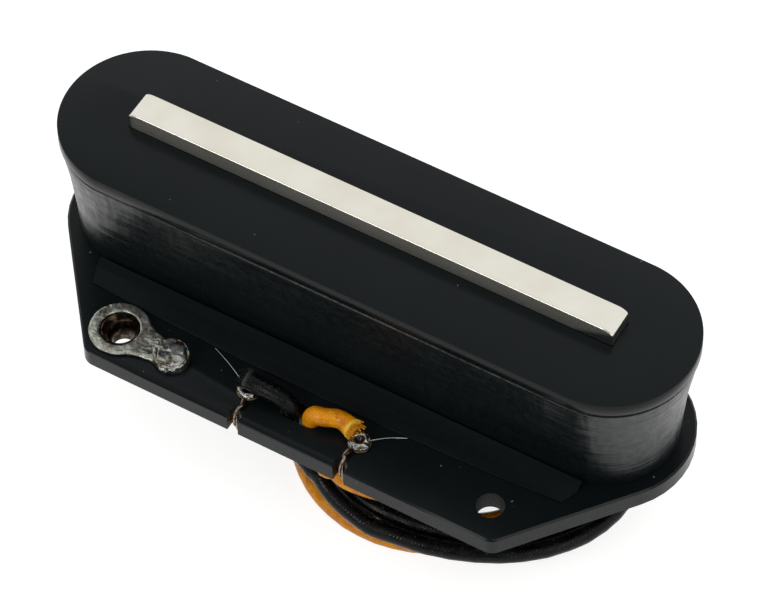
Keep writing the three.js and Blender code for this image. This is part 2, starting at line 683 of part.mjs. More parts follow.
// A lead's coil is one flat oval spiral that grows or shrinks steadily, with a straight diameter at
// both ends.
class LeadCoil extends THREE.Curve {
  constructor(coil) {
    super();
    this.coil = coil;
    this.endAngle = coil.startAngle + FULL_TURN * coil.turns;
    const middleRadius = coil.startRadius + (coil.stretch + coil.growth * coil.turns) / 2;
    this.straightShare = LEAD_DIAMETER / (FULL_TURN * coil.turns * middleRadius + 2 * LEAD_DIAMETER);
  }

  radiusAt(angle) {
    const { startRadius, startAngle, growth } = this.coil;
    return startRadius + (growth * (angle - startAngle)) / FULL_TURN;
  }

  onSpiral(angle) {
    const { x, y, z, stretch } = this.coil;
    const radius = this.radiusAt(angle);
    return new THREE.Vector3(
      x + (radius + stretch) * Math.cos(angle),
      y + radius * Math.sin(angle),
      z,
    );
  }

  wayAt(angle) {
    const outward = this.coil.growth / FULL_TURN;
    const radius = this.radiusAt(angle);
    return new THREE.Vector3(
      outward * Math.cos(angle) - (radius + this.coil.stretch) * Math.sin(angle),
      outward * Math.sin(angle) + radius * Math.cos(angle),
      0,
    ).normalize();
  }

  getPoint(t, target = new THREE.Vector3()) {
    const straight = this.straightShare;
    const { startAngle } = this.coil;
    if (t < straight) {
      const back = LEAD_DIAMETER * (1 - t / straight);
      return target.copy(this.onSpiral(startAngle)).addScaledVector(this.wayAt(startAngle), -back);
    }
    if (t > 1 - straight) {
      const on = LEAD_DIAMETER * (1 - (1 - t) / straight);
      return target.copy(this.onSpiral(this.endAngle)).addScaledVector(this.wayAt(this.endAngle), on);
    }
    const wound = (t - straight) / (1 - 2 * straight);
    return target.copy(this.onSpiral(startAngle + wound * (this.endAngle - startAngle)));
  }
}

// The least gap between one turn and the next, measured on points of the centre line
function leastGap(curve) {
  const perTurn = 60;
  const count = Math.round(perTurn * curve.coil.turns);
  const points = Array.from({ length: count + 1 }, (_, i) => curve.getPoint(i / count));
  let least = Infinity;
  points.forEach((a, i) => {
    points.slice(i + perTurn / 2).forEach((b) => {
      least = Math.min(least, a.distanceTo(b));
    });
  });
  return least - LEAD_DIAMETER;
}

// The run from the stub's end, the coil, the loose tail past it and the tinned tip of one lead
function lead(name, stub, route, coil, tail, cloth) {
  const loops = new LeadCoil(coil);
  console.log(name, "coil, least gap to itself:", leastGap(loops).toFixed(2), "mm");
  const stubWay = stub.getTangent(1);
  const runStart = stub.getPoint(1).addScaledVector(stubWay, LEAD_GAP);
  const leadIn = runStart.clone().addScaledVector(stubWay, LEAD_RADIUS);
  const coilWay = loops.wayAt(coil.startAngle);
  const runEnd = loops.getPoint(0).addScaledVector(coilWay, -LEAD_GAP);
  const leadOut = runEnd.clone().addScaledVector(coilWay, -LEAD_RADIUS);
  const runCurve = smoothCurve([runStart, leadIn, ...route, leadOut, runEnd]);
  const runSteps = Math.round(runCurve.getLength() / LEAD_DIAMETER);
  add(name + "_run", tube(runCurve, LEAD_RADIUS, CORD_SIDES, runSteps), cloth);

  const loopSteps = Math.round(LOOP_STEPS * coil.turns) + 2;
  add(name + "_coil", tube(loops, LEAD_RADIUS, LOOP_SIDES, loopSteps), cloth);

  const way = loops.wayAt(loops.endAngle);
  const left = new THREE.Vector3(-way.y, way.x, 0);
  const tailStart = loops.getPoint(1).addScaledVector(way, LEAD_GAP);
  const tailPoints = tail.map(([on, aside]) =>
    tailStart.clone().addScaledVector(way, on).addScaledVector(left, aside),
  );
  const tailCurve = smoothCurve(tailPoints);
  add(name + "_tail", tube(tailCurve, LEAD_RADIUS, CORD_SIDES, tail.length), cloth);

  const tipWay = tailCurve.getTangent(1);
  const tipStart = tailCurve.getPoint(1).addScaledVector(tipWay, LEAD_GAP);
  const tipEnd = tipStart.clone().addScaledVector(tipWay, TIP_LENGTH);
  add(name + "_tip", tube(new THREE.LineCurve3(tipStart, tipEnd), CORE_RADIUS, CORD_SIDES, 2), tinned);
}
lead("yellow_lead", yellowStub, YELLOW_RUN, YELLOW_COIL, YELLOW_TAIL, yellowCloth);
lead("black_lead", blackStub, BLACK_RUN, BLACK_COIL, BLACK_TAIL, blackCloth);

export default pickup;
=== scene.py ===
# %% [markdown]
# # A blade pickup for an electric guitar
# The object is a single-coil bridge pickup: two sheets of black fibre hold a taped coil between
# them, a bright steel bar stands through the coil, and two cloth-covered leads go down through the
# lower sheet and lie coiled under it. The pickup is 7 cm long, so the whole scene is small. Every
# size is written in millimetres and turned to Blender's metres by one value.

# %% Load the frame
import functools
import math
import random

import bmesh
import bpy
from mathutils import Matrix, Vector, noise


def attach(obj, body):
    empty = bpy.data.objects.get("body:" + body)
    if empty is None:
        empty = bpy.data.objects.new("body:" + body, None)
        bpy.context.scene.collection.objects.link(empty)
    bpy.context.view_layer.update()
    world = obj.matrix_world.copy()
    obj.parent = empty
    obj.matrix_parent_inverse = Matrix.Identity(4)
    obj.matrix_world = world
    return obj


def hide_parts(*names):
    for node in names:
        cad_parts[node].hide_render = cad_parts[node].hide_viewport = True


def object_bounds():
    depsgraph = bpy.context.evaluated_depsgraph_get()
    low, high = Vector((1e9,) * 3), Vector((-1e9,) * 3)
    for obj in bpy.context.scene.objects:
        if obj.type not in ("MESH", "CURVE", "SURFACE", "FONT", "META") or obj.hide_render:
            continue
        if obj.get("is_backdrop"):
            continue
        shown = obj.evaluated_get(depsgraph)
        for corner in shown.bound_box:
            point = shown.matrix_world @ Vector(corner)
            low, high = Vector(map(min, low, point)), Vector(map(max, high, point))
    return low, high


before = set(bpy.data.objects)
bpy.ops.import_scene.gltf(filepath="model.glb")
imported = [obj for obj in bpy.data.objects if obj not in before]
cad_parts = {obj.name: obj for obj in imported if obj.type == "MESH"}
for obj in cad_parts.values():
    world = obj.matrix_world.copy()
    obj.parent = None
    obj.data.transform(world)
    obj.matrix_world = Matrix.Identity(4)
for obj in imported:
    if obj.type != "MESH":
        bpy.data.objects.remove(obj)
cad_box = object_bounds()
MM = 0.001
print("CAD box in mm:", [[round(value / MM, 2) for value in corner] for corner in cad_box])


def mm(x, y, z):
    return Vector((x, y, z)) * MM


def new_object(name, data):
    thing = bpy.data.objects.new(name, data)
    bpy.context.scene.collection.objects.link(thing)
    return thing


# %% [markdown]
# ## The camera
# A photograph's view is three things: where the camera stands, which way it looks and how long its
# lens is. Here they come from points measured in the photograph. The lens is very long, as in a
# product photograph, so the lines along the pickup stay nearly parallel. The camera's three axes
# are worked out from two angles and a small roll, and make its matrix.

# %% Camera
CAMERA_PLACE = mm(144.63, -235.22, 376.90)
CAMERA_AZIMUTH = math.radians(31.524)
CAMERA_ELEVATION = math.radians(53.406)
CAMERA_ROLL = math.radians(-1.505)
SENSOR_WIDTH = 36.0
LENS = 222.73

back = Vector((
    math.cos(CAMERA_ELEVATION) * math.sin(CAMERA_AZIMUTH),
    -math.cos(CAMERA_ELEVATION) * math.cos(CAMERA_AZIMUTH),
    math.sin(CAMERA_ELEVATION),
))
level_right = Vector((math.cos(CAMERA_AZIMUTH), math.sin(CAMERA_AZIMUTH), 0))
level_up = back.cross(level_right)
camera_right = level_right * math.cos(CAMERA_ROLL) + level_up * math.sin(CAMERA_ROLL)
camera_up = back.cross(camera_right)

camera_data = bpy.data.cameras.new("camera")
camera_data.sensor_fit = "HORIZONTAL"
camera_data.sensor_width = SENSOR_WIDTH
camera_data.lens = LENS
camera_data.clip_start = 0.01
camera_data.clip_end = 20
camera = new_object("camera", camera_data)
turn = Matrix((camera_right, camera_up, back)).transposed()
camera.matrix_world = Matrix.Translation(CAMERA_PLACE) @ turn.to_4x4()
bpy.context.scene.camera = camera
print("camera stands", round(CAMERA_PLACE.length / MM), "mm from the pickup's foot")

# %% [markdown]
# ## Smooth lines and tubes
# Leads and wires are long round things, so they all need two tools: a smooth line through a few
# given points, and a skin round such a line. A Blender curve with a bevel could make the
# skin too, but a mesh lets each vertex carry two useful numbers in its UV map: how far round the
# lead it lies, and how far along in millimetres. The braid of the cloth then follows every bend.


# %% A smooth line through points
def smooth_line(points, steps=8):
    """Points of a centripetal Catmull-Rom curve, which passes through all the given ones."""
    places = [Vector(p) for p in points]
    places = [2 * places[0] - places[1], *places, 2 * places[-1] - places[-2]]
    line = []
    for a, b, c, d in zip(places, places[1:], places[2:], places[3:]):
        first, middle, last = (math.sqrt((q - p).length) for p, q in ((a, b), (b, c), (c, d)))
        leave = ((b - a) / first - (c - a) / (first + middle) + (c - b) / middle) * middle
        arrive = ((c - b) / middle - (d - b) / (middle + last) + (d - c) / last) * middle
        for i in range(steps):
            t = i / steps
            bend = -3 * b + 3 * c - 2 * leave - arrive
            twist = 2 * b - 2 * c + leave + arrive
            line.append(b + leave * t + bend * t ** 2 + twist * t ** 3)
    line.append(places[-2])
    return line


def length_of(line):
    return sum((b - a).length for a, b in zip(line, line[1:]))


def even_line(line, spacing):
    """The same line with its points at an even distance from each other."""
    count = max(2, round(length_of(line) / spacing))
    step = length_of(line) / count
    even = [line[0]]
    gone = 0.0
    for a, b in zip(line, line[1:]):
        part = (b - a).length
        while part > 0 and gone + part >= step * len(even) - step * 1e-6 and len(even) < count:
            share = (step * len(even) - gone) / part
            even.append(a.lerp(b, min(1.0, share)))
        gone += part
    even.append(line[-1])
    return even


# %% A skin round a line
def tube(name, line, radius, sides=16, wobble=0.0, seed=0, start=0.0):
    """A closed round tube along a line. radius is a number, or a function of the share of the way
    gone. start is what the map says, in millimetres, at the line's first point."""
    radius_at = radius if callable(radius) else (lambda gone: radius)
    total = length_of(line)
    ways = [(b - a).normalized() for a, b in zip(line, line[1:])]
    ways = [ways[0]] + [(p + q).normalized() for p, q in zip(ways, ways[1:])] + [ways[-1]]
    aside = ways[0].orthogonal().normalized()
    mesh_data = bmesh.new()
    uv = mesh_data.loops.layers.uv.new("along")
    rings = []
    along = 0.0
    for i, (place, way) in enumerate(zip(line, ways)):
        if i:
            along += (place - line[i - 1]).length
        aside = (aside - way * aside.dot(way)).normalized()
        over = way.cross(aside)
        ring = []
        for k in range(sides):
            angle = 2 * math.pi * k / sides
            outward = aside * math.cos(angle) + over * math.sin(angle)
            lump = noise.noise(place / (2.2 * MM) + outward * 0.7 + Vector((seed, 0, 0)))
            reach = radius_at(along / total) * (1 + wobble * lump)
            ring.append(mesh_data.verts.new(place + outward * reach))
        rings.append((ring, start + along / MM))
    for (ring, near), (after, far) in zip(rings, rings[1:]):
        for k in range(sides):
            following = (k + 1) % sides
            face = mesh_data.faces.new((ring[k], ring[following], after[following], after[k]))
            face.smooth = True
            corners = ((k, near), (k + 1, near), (k + 1, far), (k, far))
            for loop, (around, gone) in zip(face.loops, corners):
                loop[uv].uv = (around / sides, gone)
    mesh_data.faces.new(list(reversed(rings[0][0])))
    mesh_data.faces.new(rings[-1][0])
    mesh = bpy.data.meshes.new(name)
    mesh_data.to_mesh(mesh)
    mesh_data.free()
    return new_object(name, mesh)


# %% [markdown]
# ## The two leads
# Each lead is a thin stranded wire in a waxed cotton braid. Its bare end is soldered in an eyelet,
# the cloth lies on the sheet for a few millimetres, goes down through one long hole, turns away
# under the sheet and ends in a flat coil that the pickup stands on. The routes are the CAD ones:
# a few listed points, and a spiral worked out by a formula. Only the black coil's turns lie
# closer here. They nearly touch, as they do in the photograph, where the CAD keeps a clear gap.
# The yellow stub's cut end lies a little nearer to its eyelet than in CAD, and the black one's
# reaches a little further over its own, and higher.

# %% Sizes of the leads
LEAD_RADIUS = 0.95
LEAD_GAP = 0.3
CORE_RADIUS = 0.28
BASE_SHEET_THICKNESS = 2.3
HOLE_ROW = 14.1
LEAD_HOLE_ROW = 13.9
EYELET_X = 6.3
STUB_BEND_RADIUS = 1.3
TIP_LENGTH = 5.0
END_OVER_EYELET = 0.3
YELLOW_PITCH = 2.6
BLACK_PITCH = 1.98

LEADS = {
    "yellow": {
        "hole_x": 0.75,
        "end": (EYELET_X - LEAD_RADIUS, LEAD_RADIUS / 4 - LEAD_HOLE_ROW, 0.0),
        "bow": LEAD_RADIUS / 2,
        "under": [(0, 0, -0.5), (0.2, -0.15, -1.3), (0.75, -0.53, -1.85), (1.55, -1.05, -2)],
        "run": [
            (4.2, -15.4, -2.12), (5.3, -15.75, -2.1), (6.6, -15.85, -2.05), (8.5, -15.65, -2),
            (10.6, -15.25, -2), (12.7, -15.25, -2.05), (14.8, -15.05, -2.3), (16.8, -14.35, -2.8),
            (18.7, -13.15, -3.5), (20.3, -11.4, -4.05), (21.3, -9.5, -4.38), (21.4, -7.7, -4.75),
            (20.6, -6.2, -5.7), (19.5, -4.7, -6.5), (18.7, -3, -7.15), (18.3, -1, -7.8),
            (18.1, 1.2, -8.35), (17.3, 3.6, -8.75), (15.8, 6.2, -8.88),
        ],
        "coil": {"centre": (7.5, -2.45, -8.9), "radius": 12.2, "stretch": 0.0, "start": 75,
                 "turns": 1.125, "growth": YELLOW_PITCH},
        "tail": [(0, 0), (1.6, 0.05), (3.2, 0), (4.8, -0.35), (6.3, -1.05), (7.6, -2.1)],
    },
    "black": {
        "hole_x": -1.5,
        "end": (-EYELET_X - END_OVER_EYELET, -LEAD_HOLE_ROW, 0.55),
        "bow": 0.0,
        "under": [(0, 0, -0.6), (0, 0, -1.5), (0.1, -0.03, -2.4), (0.48, -0.15, -3.25),
                  (1.1, -0.35, -3.95), (1.9, -0.6, -4.4)],
        "run": [(2.3, -15.15, -4.85), (3.85, -15.9, -5.3), (5.6, -16.38, -5.85), (7.4, -16.65, -6.3)],
        "coil": {"centre": (9.9, -1.45, -6.6), "radius": 15.1, "stretch": 4.5, "start": 277,
                 "turns": 1.75, "growth": -BLACK_PITCH},
        "tail": [(0, 0), (1.5, 0.25), (3, 1), (4.1, 2.2), (4.7, 3.8), (4.8, 5.6), (4.5, 7.4)],
    },
}


# %% The lines that the leads follow
def spiral(coil):
    """The coil's line in millimetres, and the way that it runs at its start and its end. It is an
    oval, longer along X than its radius by its stretch at both ends."""
    start = math.radians(coil["start"])
    growth = coil["growth"] / (2 * math.pi)
    steps = round(48 * coil["turns"])
    line = []
    ways = []
    for i in range(steps + 1):
        angle = start + 2 * math.pi * coil["turns"] * i / steps
        radius = coil["radius"] + growth * (angle - start)
        long_radius = radius + coil["stretch"]
        outward = Vector((math.cos(angle), math.sin(angle), 0))
        place = Vector((long_radius * outward.x, radius * outward.y, 0))
        forward = Vector((-long_radius * outward.y, radius * outward.x, 0))
        line.append(Vector(coil["centre"]) + place)
        ways.append((outward * growth + forward).normalized())
    return line, ways[0], ways[-1]


def stub_line(lead):
    """From the cut end at the eyelet, along the sheet, down the hole and out under the sheet."""
    low = BASE_SHEET_THICKNESS + LEAD_GAP + LEAD_RADIUS
    end = Vector(lead["end"]) + Vector((0, 0, low))
    side = math.copysign(1, end.x - lead["hole_x"])
    bend = []
    for i in range(4):
        angle = math.pi / 2 * (1 - i / 3)
        bend.append(Vector((
            lead["hole_x"] + side * STUB_BEND_RADIUS * (1 - math.cos(angle)),
            -LEAD_HOLE_ROW,
            low - STUB_BEND_RADIUS * (1 - math.sin(angle)),
        )))
    middle = (bend[0] + end) / 2
    middle = Vector((middle.x, middle.y + lead["bow"], (low + end.z) / 2))
    hole = Vector((lead["hole_x"], -LEAD_HOLE_ROW, 0))
    return smooth_line([end, middle, *bend, *(hole + Vector(p) for p in lead["under"])])


def free_line(lead, stub):
    """From the stub's end to the coil, round the coil and along the loose tail."""
    stub_way = (stub[-1] - stub[-2]).normalized()
    loops, way_in, way_out = spiral(lead["coil"])
    run_start = stub[-1] + stub_way * LEAD_GAP
    run_end = loops[0] - way_in * (2 * LEAD_RADIUS + LEAD_GAP)
    run = smooth_line([
        run_start,
        run_start + stub_way * LEAD_RADIUS,
        *lead["run"],
        run_end - way_in * LEAD_RADIUS,
        run_end,
    ])
    left = Vector((-way_out.y, way_out.x, 0))
    tail_start = loops[-1] + way_out * (2 * LEAD_RADIUS + LEAD_GAP)
    tail = smooth_line([tail_start + way_out * on + left * aside for on, aside in lead["tail"]])
    return run + loops + tail


for name, lead in LEADS.items():
    lead["stub_line"] = stub_line(lead)
    lead["free_line"] = free_line(lead, lead["stub_line"])
    print(name, "lead: free length", round(length_of(lead["free_line"]), 1), "mm")


# %% [markdown]
# Each finished piece is declared: it rides on the one body, and the CAD nodes whose place it takes
# are hidden. The braid's map starts at zero only at the stub's cut end, because only there is the
# cloth frayed.

# %% The leads' cloth
CLOTH_SPACING = 0.3
CLOTH_WOBBLE = 0.035
STUB_WOBBLE = 0.08
FREE_MAP_START = 20.0


def in_metres(line):
    return [p * MM for p in line]


def declare(piece, slot, *nodes):
    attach(piece, "root")
    if nodes:
        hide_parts(*nodes)


def cloth_end(gone):
    """The braid opens where it was cut, over the first eighth of the stub."""
    return LEAD_RADIUS * MM * (1 + 0.16 * max(0.0, 1 - gone / 0.12) ** 2)


def tip_end(gone):
    """The tinned end is drawn to a blunt point over its last tenth."""
    return CORE_RADIUS * MM * (1 - 0.5 * max(0.0, (gone - 0.9) * 10) ** 2)


for name, lead in LEADS.items():
    node = name + "_lead"
    free = in_metres(even_line(lead["free_line"], CLOTH_SPACING))
    cloth = tube(node + "_cloth", free, LEAD_RADIUS * MM, wobble=CLOTH_WOBBLE, seed=len(name),
                 start=FREE_MAP_START)
    declare(cloth, name + "_cloth", node + "_run", node + "_coil", node + "_tail")

    to_the_run = lead["stub_line"] + [lead["free_line"][0]]
    stub = tube(node + "_end", in_metres(even_line(to_the_run, CLOTH_SPACING)), cloth_end,
                wobble=STUB_WOBBLE, seed=2 * len(name))
    declare(stub, name + "_cloth", node + "_stub")

    way = (lead["free_line"][-1] - lead["free_line"][-2]).normalized()
    tip_line = [
        lead["free_line"][-1] - way * LEAD_RADIUS,
        lead["free_line"][-1] + way * (LEAD_GAP + TIP_LENGTH),
    ]
    tip = tube(node + "_bare_tip", in_metres(even_line(tip_line, CLOTH_SPACING)), tip_end, 12)
    declare(tip, "tinned_metal", node + "_tip")

    lead.update(cloth=cloth, stub=stub, tip=tip)
print("faces on one lead:", len(LEADS["yellow"]["cloth"].data.polygons))

# %% [markdown]
# ## How the materials are made
# Every finish is built from nodes on the Principled shader. A few small functions serve them all:
# one turns a colour as a painter picks it into the linear light that the renderer counts in, one
# fills a node's sockets, and one adds a node. A pattern's scale is one divided by the size of its
# grain in metres, so that the grain is right on an object this small.


# %% Helpers for materials
def linear(colour):
    parts = [int(colour[i:i + 2], 16) / 255 for i in (1, 3, 5)]
    light = [p / 12.92 if p <= 0.04045 else ((p + 0.055) / 1.055) ** 2.4 for p in parts]
    return (*light, 1.0)


def connect(owner, node, inputs):
    """Fills sockets by name or number. A value is a number or colour to set, a socket to link
    from, or a node, which stands for its first output."""
    for key, value in inputs.items():
        if isinstance(value, bpy.types.Node):
            value = value.outputs[0]
        if isinstance(value, bpy.types.NodeSocket):
            owner.node_tree.links.new(value, node.inputs[key])
        else:
            node.inputs[key].default_value = value


def add_node(owner, kind, inputs=None, stops=(), **settings):
    """Adds a node with its settings and links. stops are a colour ramp's places and colours, where
    a plain number stands for a grey."""
    node = owner.node_tree.nodes.new("ShaderNode" + kind)
    for key, value in settings.items():
        setattr(node, key, value)
    for i, (place, colour) in enumerate(stops):
        marks = node.color_ramp.elements
        mark = marks[i] if i < len(marks) else marks.new(place)
        mark.position = place
        mark.color = linear(colour) if isinstance(colour, str) else (colour, colour, colour, 1)
    connect(owner, node, inputs or {})
    return node


def new_material(name):
    """A new material, what adds a node to it, its shader and the place on the object."""
    material = bpy.data.materials.new(name)
    material.use_nodes = True
    add = functools.partial(add_node, material)
    shader = material.node_tree.nodes["Principled BSDF"]
    return material, add, shader, add("TexCoord").outputs["Object"]


def grain(size):
    """The scale of a pattern whose grains are this many millimetres across."""
    return 1 / (size * MM)


# %% [markdown]
# A colour Mix node has one pair of sockets for each kind of value that it can blend, all with the
# same names. The two colours are sockets 6 and 7, and the blended colour is output 2, so they are
# called by these numbers.

# %% The colour Mix node's sockets
COLOUR_A = 6
COLOUR_B = 7
COLOUR_OUT = 2

# %% [markdown]
# ## Vulcanised fibre
# The sheets are vulcanised fibre: paper hardened into a dense black board and pressed between
# rollers. Its face is satin with a faint fine grain, a little duller in patches, and a few specks
# of dust lie on it. Where the lower sheet was cut, the fibres stand up and look paler. The upper
# sheet's edge has colours of its own, painted darker as shade, so that it looks as dark as its
# face where the front lamp lights it. The normal tells face and edge apart: it points up or down
# on a face, and sideways on a cut edge.


# %% Vulcanised fibre
def vulcanised_fibre(name, dark_edge, pale_edge, dust_colour="#6a6d6c"):
    material, add, shader, place = new_material(name)
    patches, fine, dust = (
        add("TexNoise", {"Vector": place, "Scale": grain(size), "Detail": detail})
        for size, detail in ((7, 3.0), (0.35, 4.0), (0.42, 0.0)))
    normal = place.node.outputs["Normal"]
    upward = add("SeparateXYZ", {"Vector": normal}).outputs["Z"]
    faced = add("Math", {0: upward}, operation="ABSOLUTE")
    sideways = add("ValToRGB", {"Fac": faced}, [(0.55, 1.0), (0.9, 0.0)])
    specks = add("ValToRGB", {"Fac": dust}, [(0.88, 0.0), (0.9, 1.0)])
    face = add("ValToRGB", {"Fac": patches}, [(0.3, "#0c1214"), (0.7, "#101618")])
    edge = add("ValToRGB", {"Fac": fine}, [(0.3, dark_edge), (0.7, pale_edge)])
    body = add("Mix", {"Factor": sideways, COLOUR_A: face, COLOUR_B: edge}, data_type="RGBA")
    colour = add("Mix", {
        "Factor": specks, COLOUR_A: body.outputs[COLOUR_OUT], COLOUR_B: linear(dust_colour)},
        data_type="RGBA")
    rough = add("ValToRGB", {"Fac": patches}, [(0.25, 0.2), (0.75, 0.28)])
    relief = add("Bump", {"Height": fine, "Strength": 0.4, "Distance": 0.006 * MM})
    connect(material, shader, {
        "Base Color": colour.outputs[COLOUR_OUT], "Roughness": rough, "Normal": relief,
        "IOR": 1.5, "Specular IOR Level": 0.14})
    return material


# %% [markdown]
# ## Ground steel
# The bar is cold-rolled steel, ground flat and polished, so it mirrors the white room with a warm
# tint. The grinding leaves long fine lines. Real ones are a few hundredths of a millimetre apart,
# which is finer than the render can show, so they are drawn at 0.15 mm.


# %% Ground steel
def ground_steel():
    material, add, shader, place = new_material("ground_steel")
    along = add("Mapping", {"Vector": place, "Scale": (0.02, 1, 1)})
    lines = add("TexNoise", {"Vector": along, "Scale": grain(0.15), "Detail": 3.0})
    patches = add("TexNoise", {"Vector": place, "Scale": grain(5), "Detail": 2.0})
    tint = add("ValToRGB", {"Fac": patches}, [(0.3, "#dcd8ca"), (0.7, "#e5e2d8")])
    rough = add("ValToRGB", {"Fac": lines}, [(0.3, 0.13), (0.7, 0.22)])
    relief = add("Bump", {"Height": lines, "Strength": 0.4, "Distance": 0.002 * MM})
    connect(material, shader, {
        "Base Color": tint, "Roughness": rough, "Metallic": 1.0, "Normal": relief})
    return material


# %% [markdown]
# ## Coil tape
# The coil is wrapped in black plastic tape. It mirrors more than the fibre, and it never lies quite
# flat: it creases upwards, and the edges of its turns run round the coil as thin raised lines. The
# piece carries a UV map in millimetres, along the wrap and up it, so a noise stretched along the
# map gives the lines and one stretched up it gives the creases. Three reliefs are stacked, each
# handing its normal on to the next. The strip on the foot is pressed flat, and much duller.


# %% Coil tape
def coil_tape(name, unevenness, gloss, shine):
    material, add, shader, _ = new_material(name)
    wrap = add("UVMap", uv_map="wrap")
    across = add("Mapping", {"Vector": wrap, "Scale": (0.5, 0.1, 1)})
    around = add("Mapping", {"Vector": wrap, "Scale": (0.05, 0.55, 1)})
    creases = add("TexNoise", {"Vector": across, "Scale": 1.0, "Detail": 2.0})
    lines = add("TexNoise", {"Vector": around, "Scale": 1.0, "Detail": 3.0})
    fine = add("TexNoise", {"Vector": wrap, "Scale": 1.2, "Detail": 2.0})
    base = add("ValToRGB", {"Fac": lines}, [(0.3, "#0b1011"), (0.7, "#12181a")])
    rough = add("ValToRGB", {"Fac": fine}, [(0.3, gloss), (0.75, gloss + 0.14)])
    creased = add("Bump", {"Height": creases, "Strength": 0.9 * unevenness, "Distance": 0.3 * MM})
    wrapped = add("Bump", {
        "Height": lines, "Strength": 0.8 * unevenness, "Distance": 0.2 * MM, "Normal": creased})
    relief = add("Bump", {
        "Height": fine, "Strength": 0.4 * unevenness, "Distance": 0.008 * MM, "Normal": wrapped})
    connect(material, shader, {
        "Base Color": base, "Roughness": rough, "Normal": relief,
        "IOR": 1.5, "Specular IOR Level": shine})
    return material


# %% [markdown]
# ## Waxed cotton braid
# The leads' cloth is cotton yarn braided from two sets of threads that cross each other, then
# dipped in wax. Two sine waves that wind round the lead in opposite ways make the crossings, and
# the hollows between the yarns are painted darker as shade. The wax fills the hollows and lies
# over the yarn in glossy patches, so the weave only just shows, and small pale flecks on it are
# painted highlights of the wax. The yarns are 0.37 mm apart. At the cut end, the first half
# millimetre is bare, frayed and paler.

# %% Waxed cotton braid
YARNS_AROUND = 16
YARN_SPACING = 2 * math.pi * LEAD_RADIUS / YARNS_AROUND
FRAYED_LENGTH = 0.5


# The pale colour is both the frayed end's own colour and the painted highlight flecks. The deep colour is
# both the wax clouds and the painted shade in the hollows.
def waxed_braid(name, pale_fray_and_glints, middle, deep, shine):
    material, add, shader, place = new_material(name)
    parts = add("SeparateXYZ", {"Vector": add("UVMap", uv_map="along")})
    gone = parts.outputs["Y"]
    turned = add("Math", {0: parts, 1: 2 * math.pi * YARNS_AROUND}, operation="MULTIPLY")
    moved = add("Math", {0: gone, 1: 2 * math.pi / YARN_SPACING}, operation="MULTIPLY")
    waves = []
    for turning in ("ADD", "SUBTRACT"):
        way = add("Math", {0: turned, 1: moved}, operation=turning)
        waves.append(add("Math", {0: way}, operation="SINE"))
    yarns = add("Math", {0: waves[0], 1: waves[1]}, operation="MAXIMUM")
    fuzz_and_glints = add("TexNoise", {"Vector": place, "Scale": grain(0.25), "Detail": 3.0})
    wax = add("TexNoise", {"Vector": place, "Scale": grain(1.3), "Detail": 3.0})
    # Painted shade: the hollows between the yarns take the deep colour.
    painted_hollow_shade = add("ValToRGB", {"Fac": yarns}, [(0.0, deep), (0.7, middle)])
    # Painted highlights: pale flecks where the wax would glint. The same noise also gives the cloth's real
    # fuzzy relief.
    worn_and_glints = add("ValToRGB", {"Fac": fuzz_and_glints}, [(0.62, 0.0), (0.72, 0.9)])
    cloudy = add("ValToRGB", {"Fac": wax}, [(0.35, deep), (0.6, middle)])
    shaded_and_soaked = add("Mix", {"Factor": 0.65, COLOUR_A: painted_hollow_shade, COLOUR_B: cloudy}, data_type="RGBA")
    colour = add("Mix", {
        "Factor": worn_and_glints, COLOUR_A: shaded_and_soaked.outputs[COLOUR_OUT], COLOUR_B: linear(pale_fray_and_glints)}, data_type="RGBA")
    frayed = add("ValToRGB", {"Fac": gone}, [(0.0, 1.0), (FRAYED_LENGTH, 0.0)])
    ended = add("Mix", {
        "Factor": frayed, COLOUR_A: colour.outputs[COLOUR_OUT], COLOUR_B: linear(pale_fray_and_glints)}, data_type="RGBA")
    rough = add("ValToRGB", {"Fac": wax}, [(0.42, 0.14), (0.6, 0.42)])
    woven = add("Bump", {"Height": yarns, "Strength": 0.4, "Distance": 0.015 * MM})
    relief = add("Bump", {"Height": fuzz_and_glints, "Strength": 0.5, "Distance": 0.05 * MM, "Normal": woven})
    connect(material, shader, {
        "Base Color": ended.outputs[COLOUR_OUT], "Roughness": rough, "Normal": relief,
        "IOR": 1.45, "Specular IOR Level": shine})
    return material


# %% [markdown]
# ## Tinned metal, solder, brass and copper
# The ground lug is brass with a dull coat of tin, stained by the flux that boiled out when it was
# soldered. Solder itself is brighter and flows into smooth lumps. The eyelets are plain brass under
# the same stains, and so are the leads' bare cores. One function makes them all, with their own
# colours, shine and amount of stain.


# %% Stained metals
def stained_metal(name, clean, worn_and_glints, stain, roughness, stain_from, relief):
    material, add, shader, place = new_material(name)
    cloudy, fine, flux = (
        add("TexNoise", {"Vector": place, "Scale": grain(size), "Detail": detail})
        for size, detail in ((1.1, 4.0), (0.3, 4.0), (0.8, 5.0)))
    metal = add("ValToRGB", {"Fac": cloudy}, [(0.35, worn_and_glints), (0.65, clean)])
    spread = add("ValToRGB", {"Fac": flux}, [(stain_from, 0.0), (stain_from + 0.08, 0.9)])
    colour = add("Mix", {"Factor": spread, COLOUR_A: metal, COLOUR_B: linear(stain)}, data_type="RGBA")
    low, high = roughness
    rough = add("ValToRGB", {"Fac": fine}, [(0.3, low), (0.7, high)])
    bump = add("Bump", {"Height": fine, "Strength": 0.6, "Distance": relief * MM})
    connect(material, shader, {
        "Base Color": colour.outputs[COLOUR_OUT], "Roughness": rough, "Metallic": 1.0, "Normal": bump})
    return material


# %% [markdown]
# ## Flux, ferrite, paper and bored fibre
# Burnt flux is a dark brown resin, clear and glossy like old varnish. The bar magnets are sintered
# ferrite: dark grey, matt and slightly gritty. The core is wrapped in varnished paper. The drill
# leaves the walls of the screw holes rough, and little light gets there, so their colour is painted
# nearly black as shade. All four are a base in two shades, a range of roughness and a fine relief.


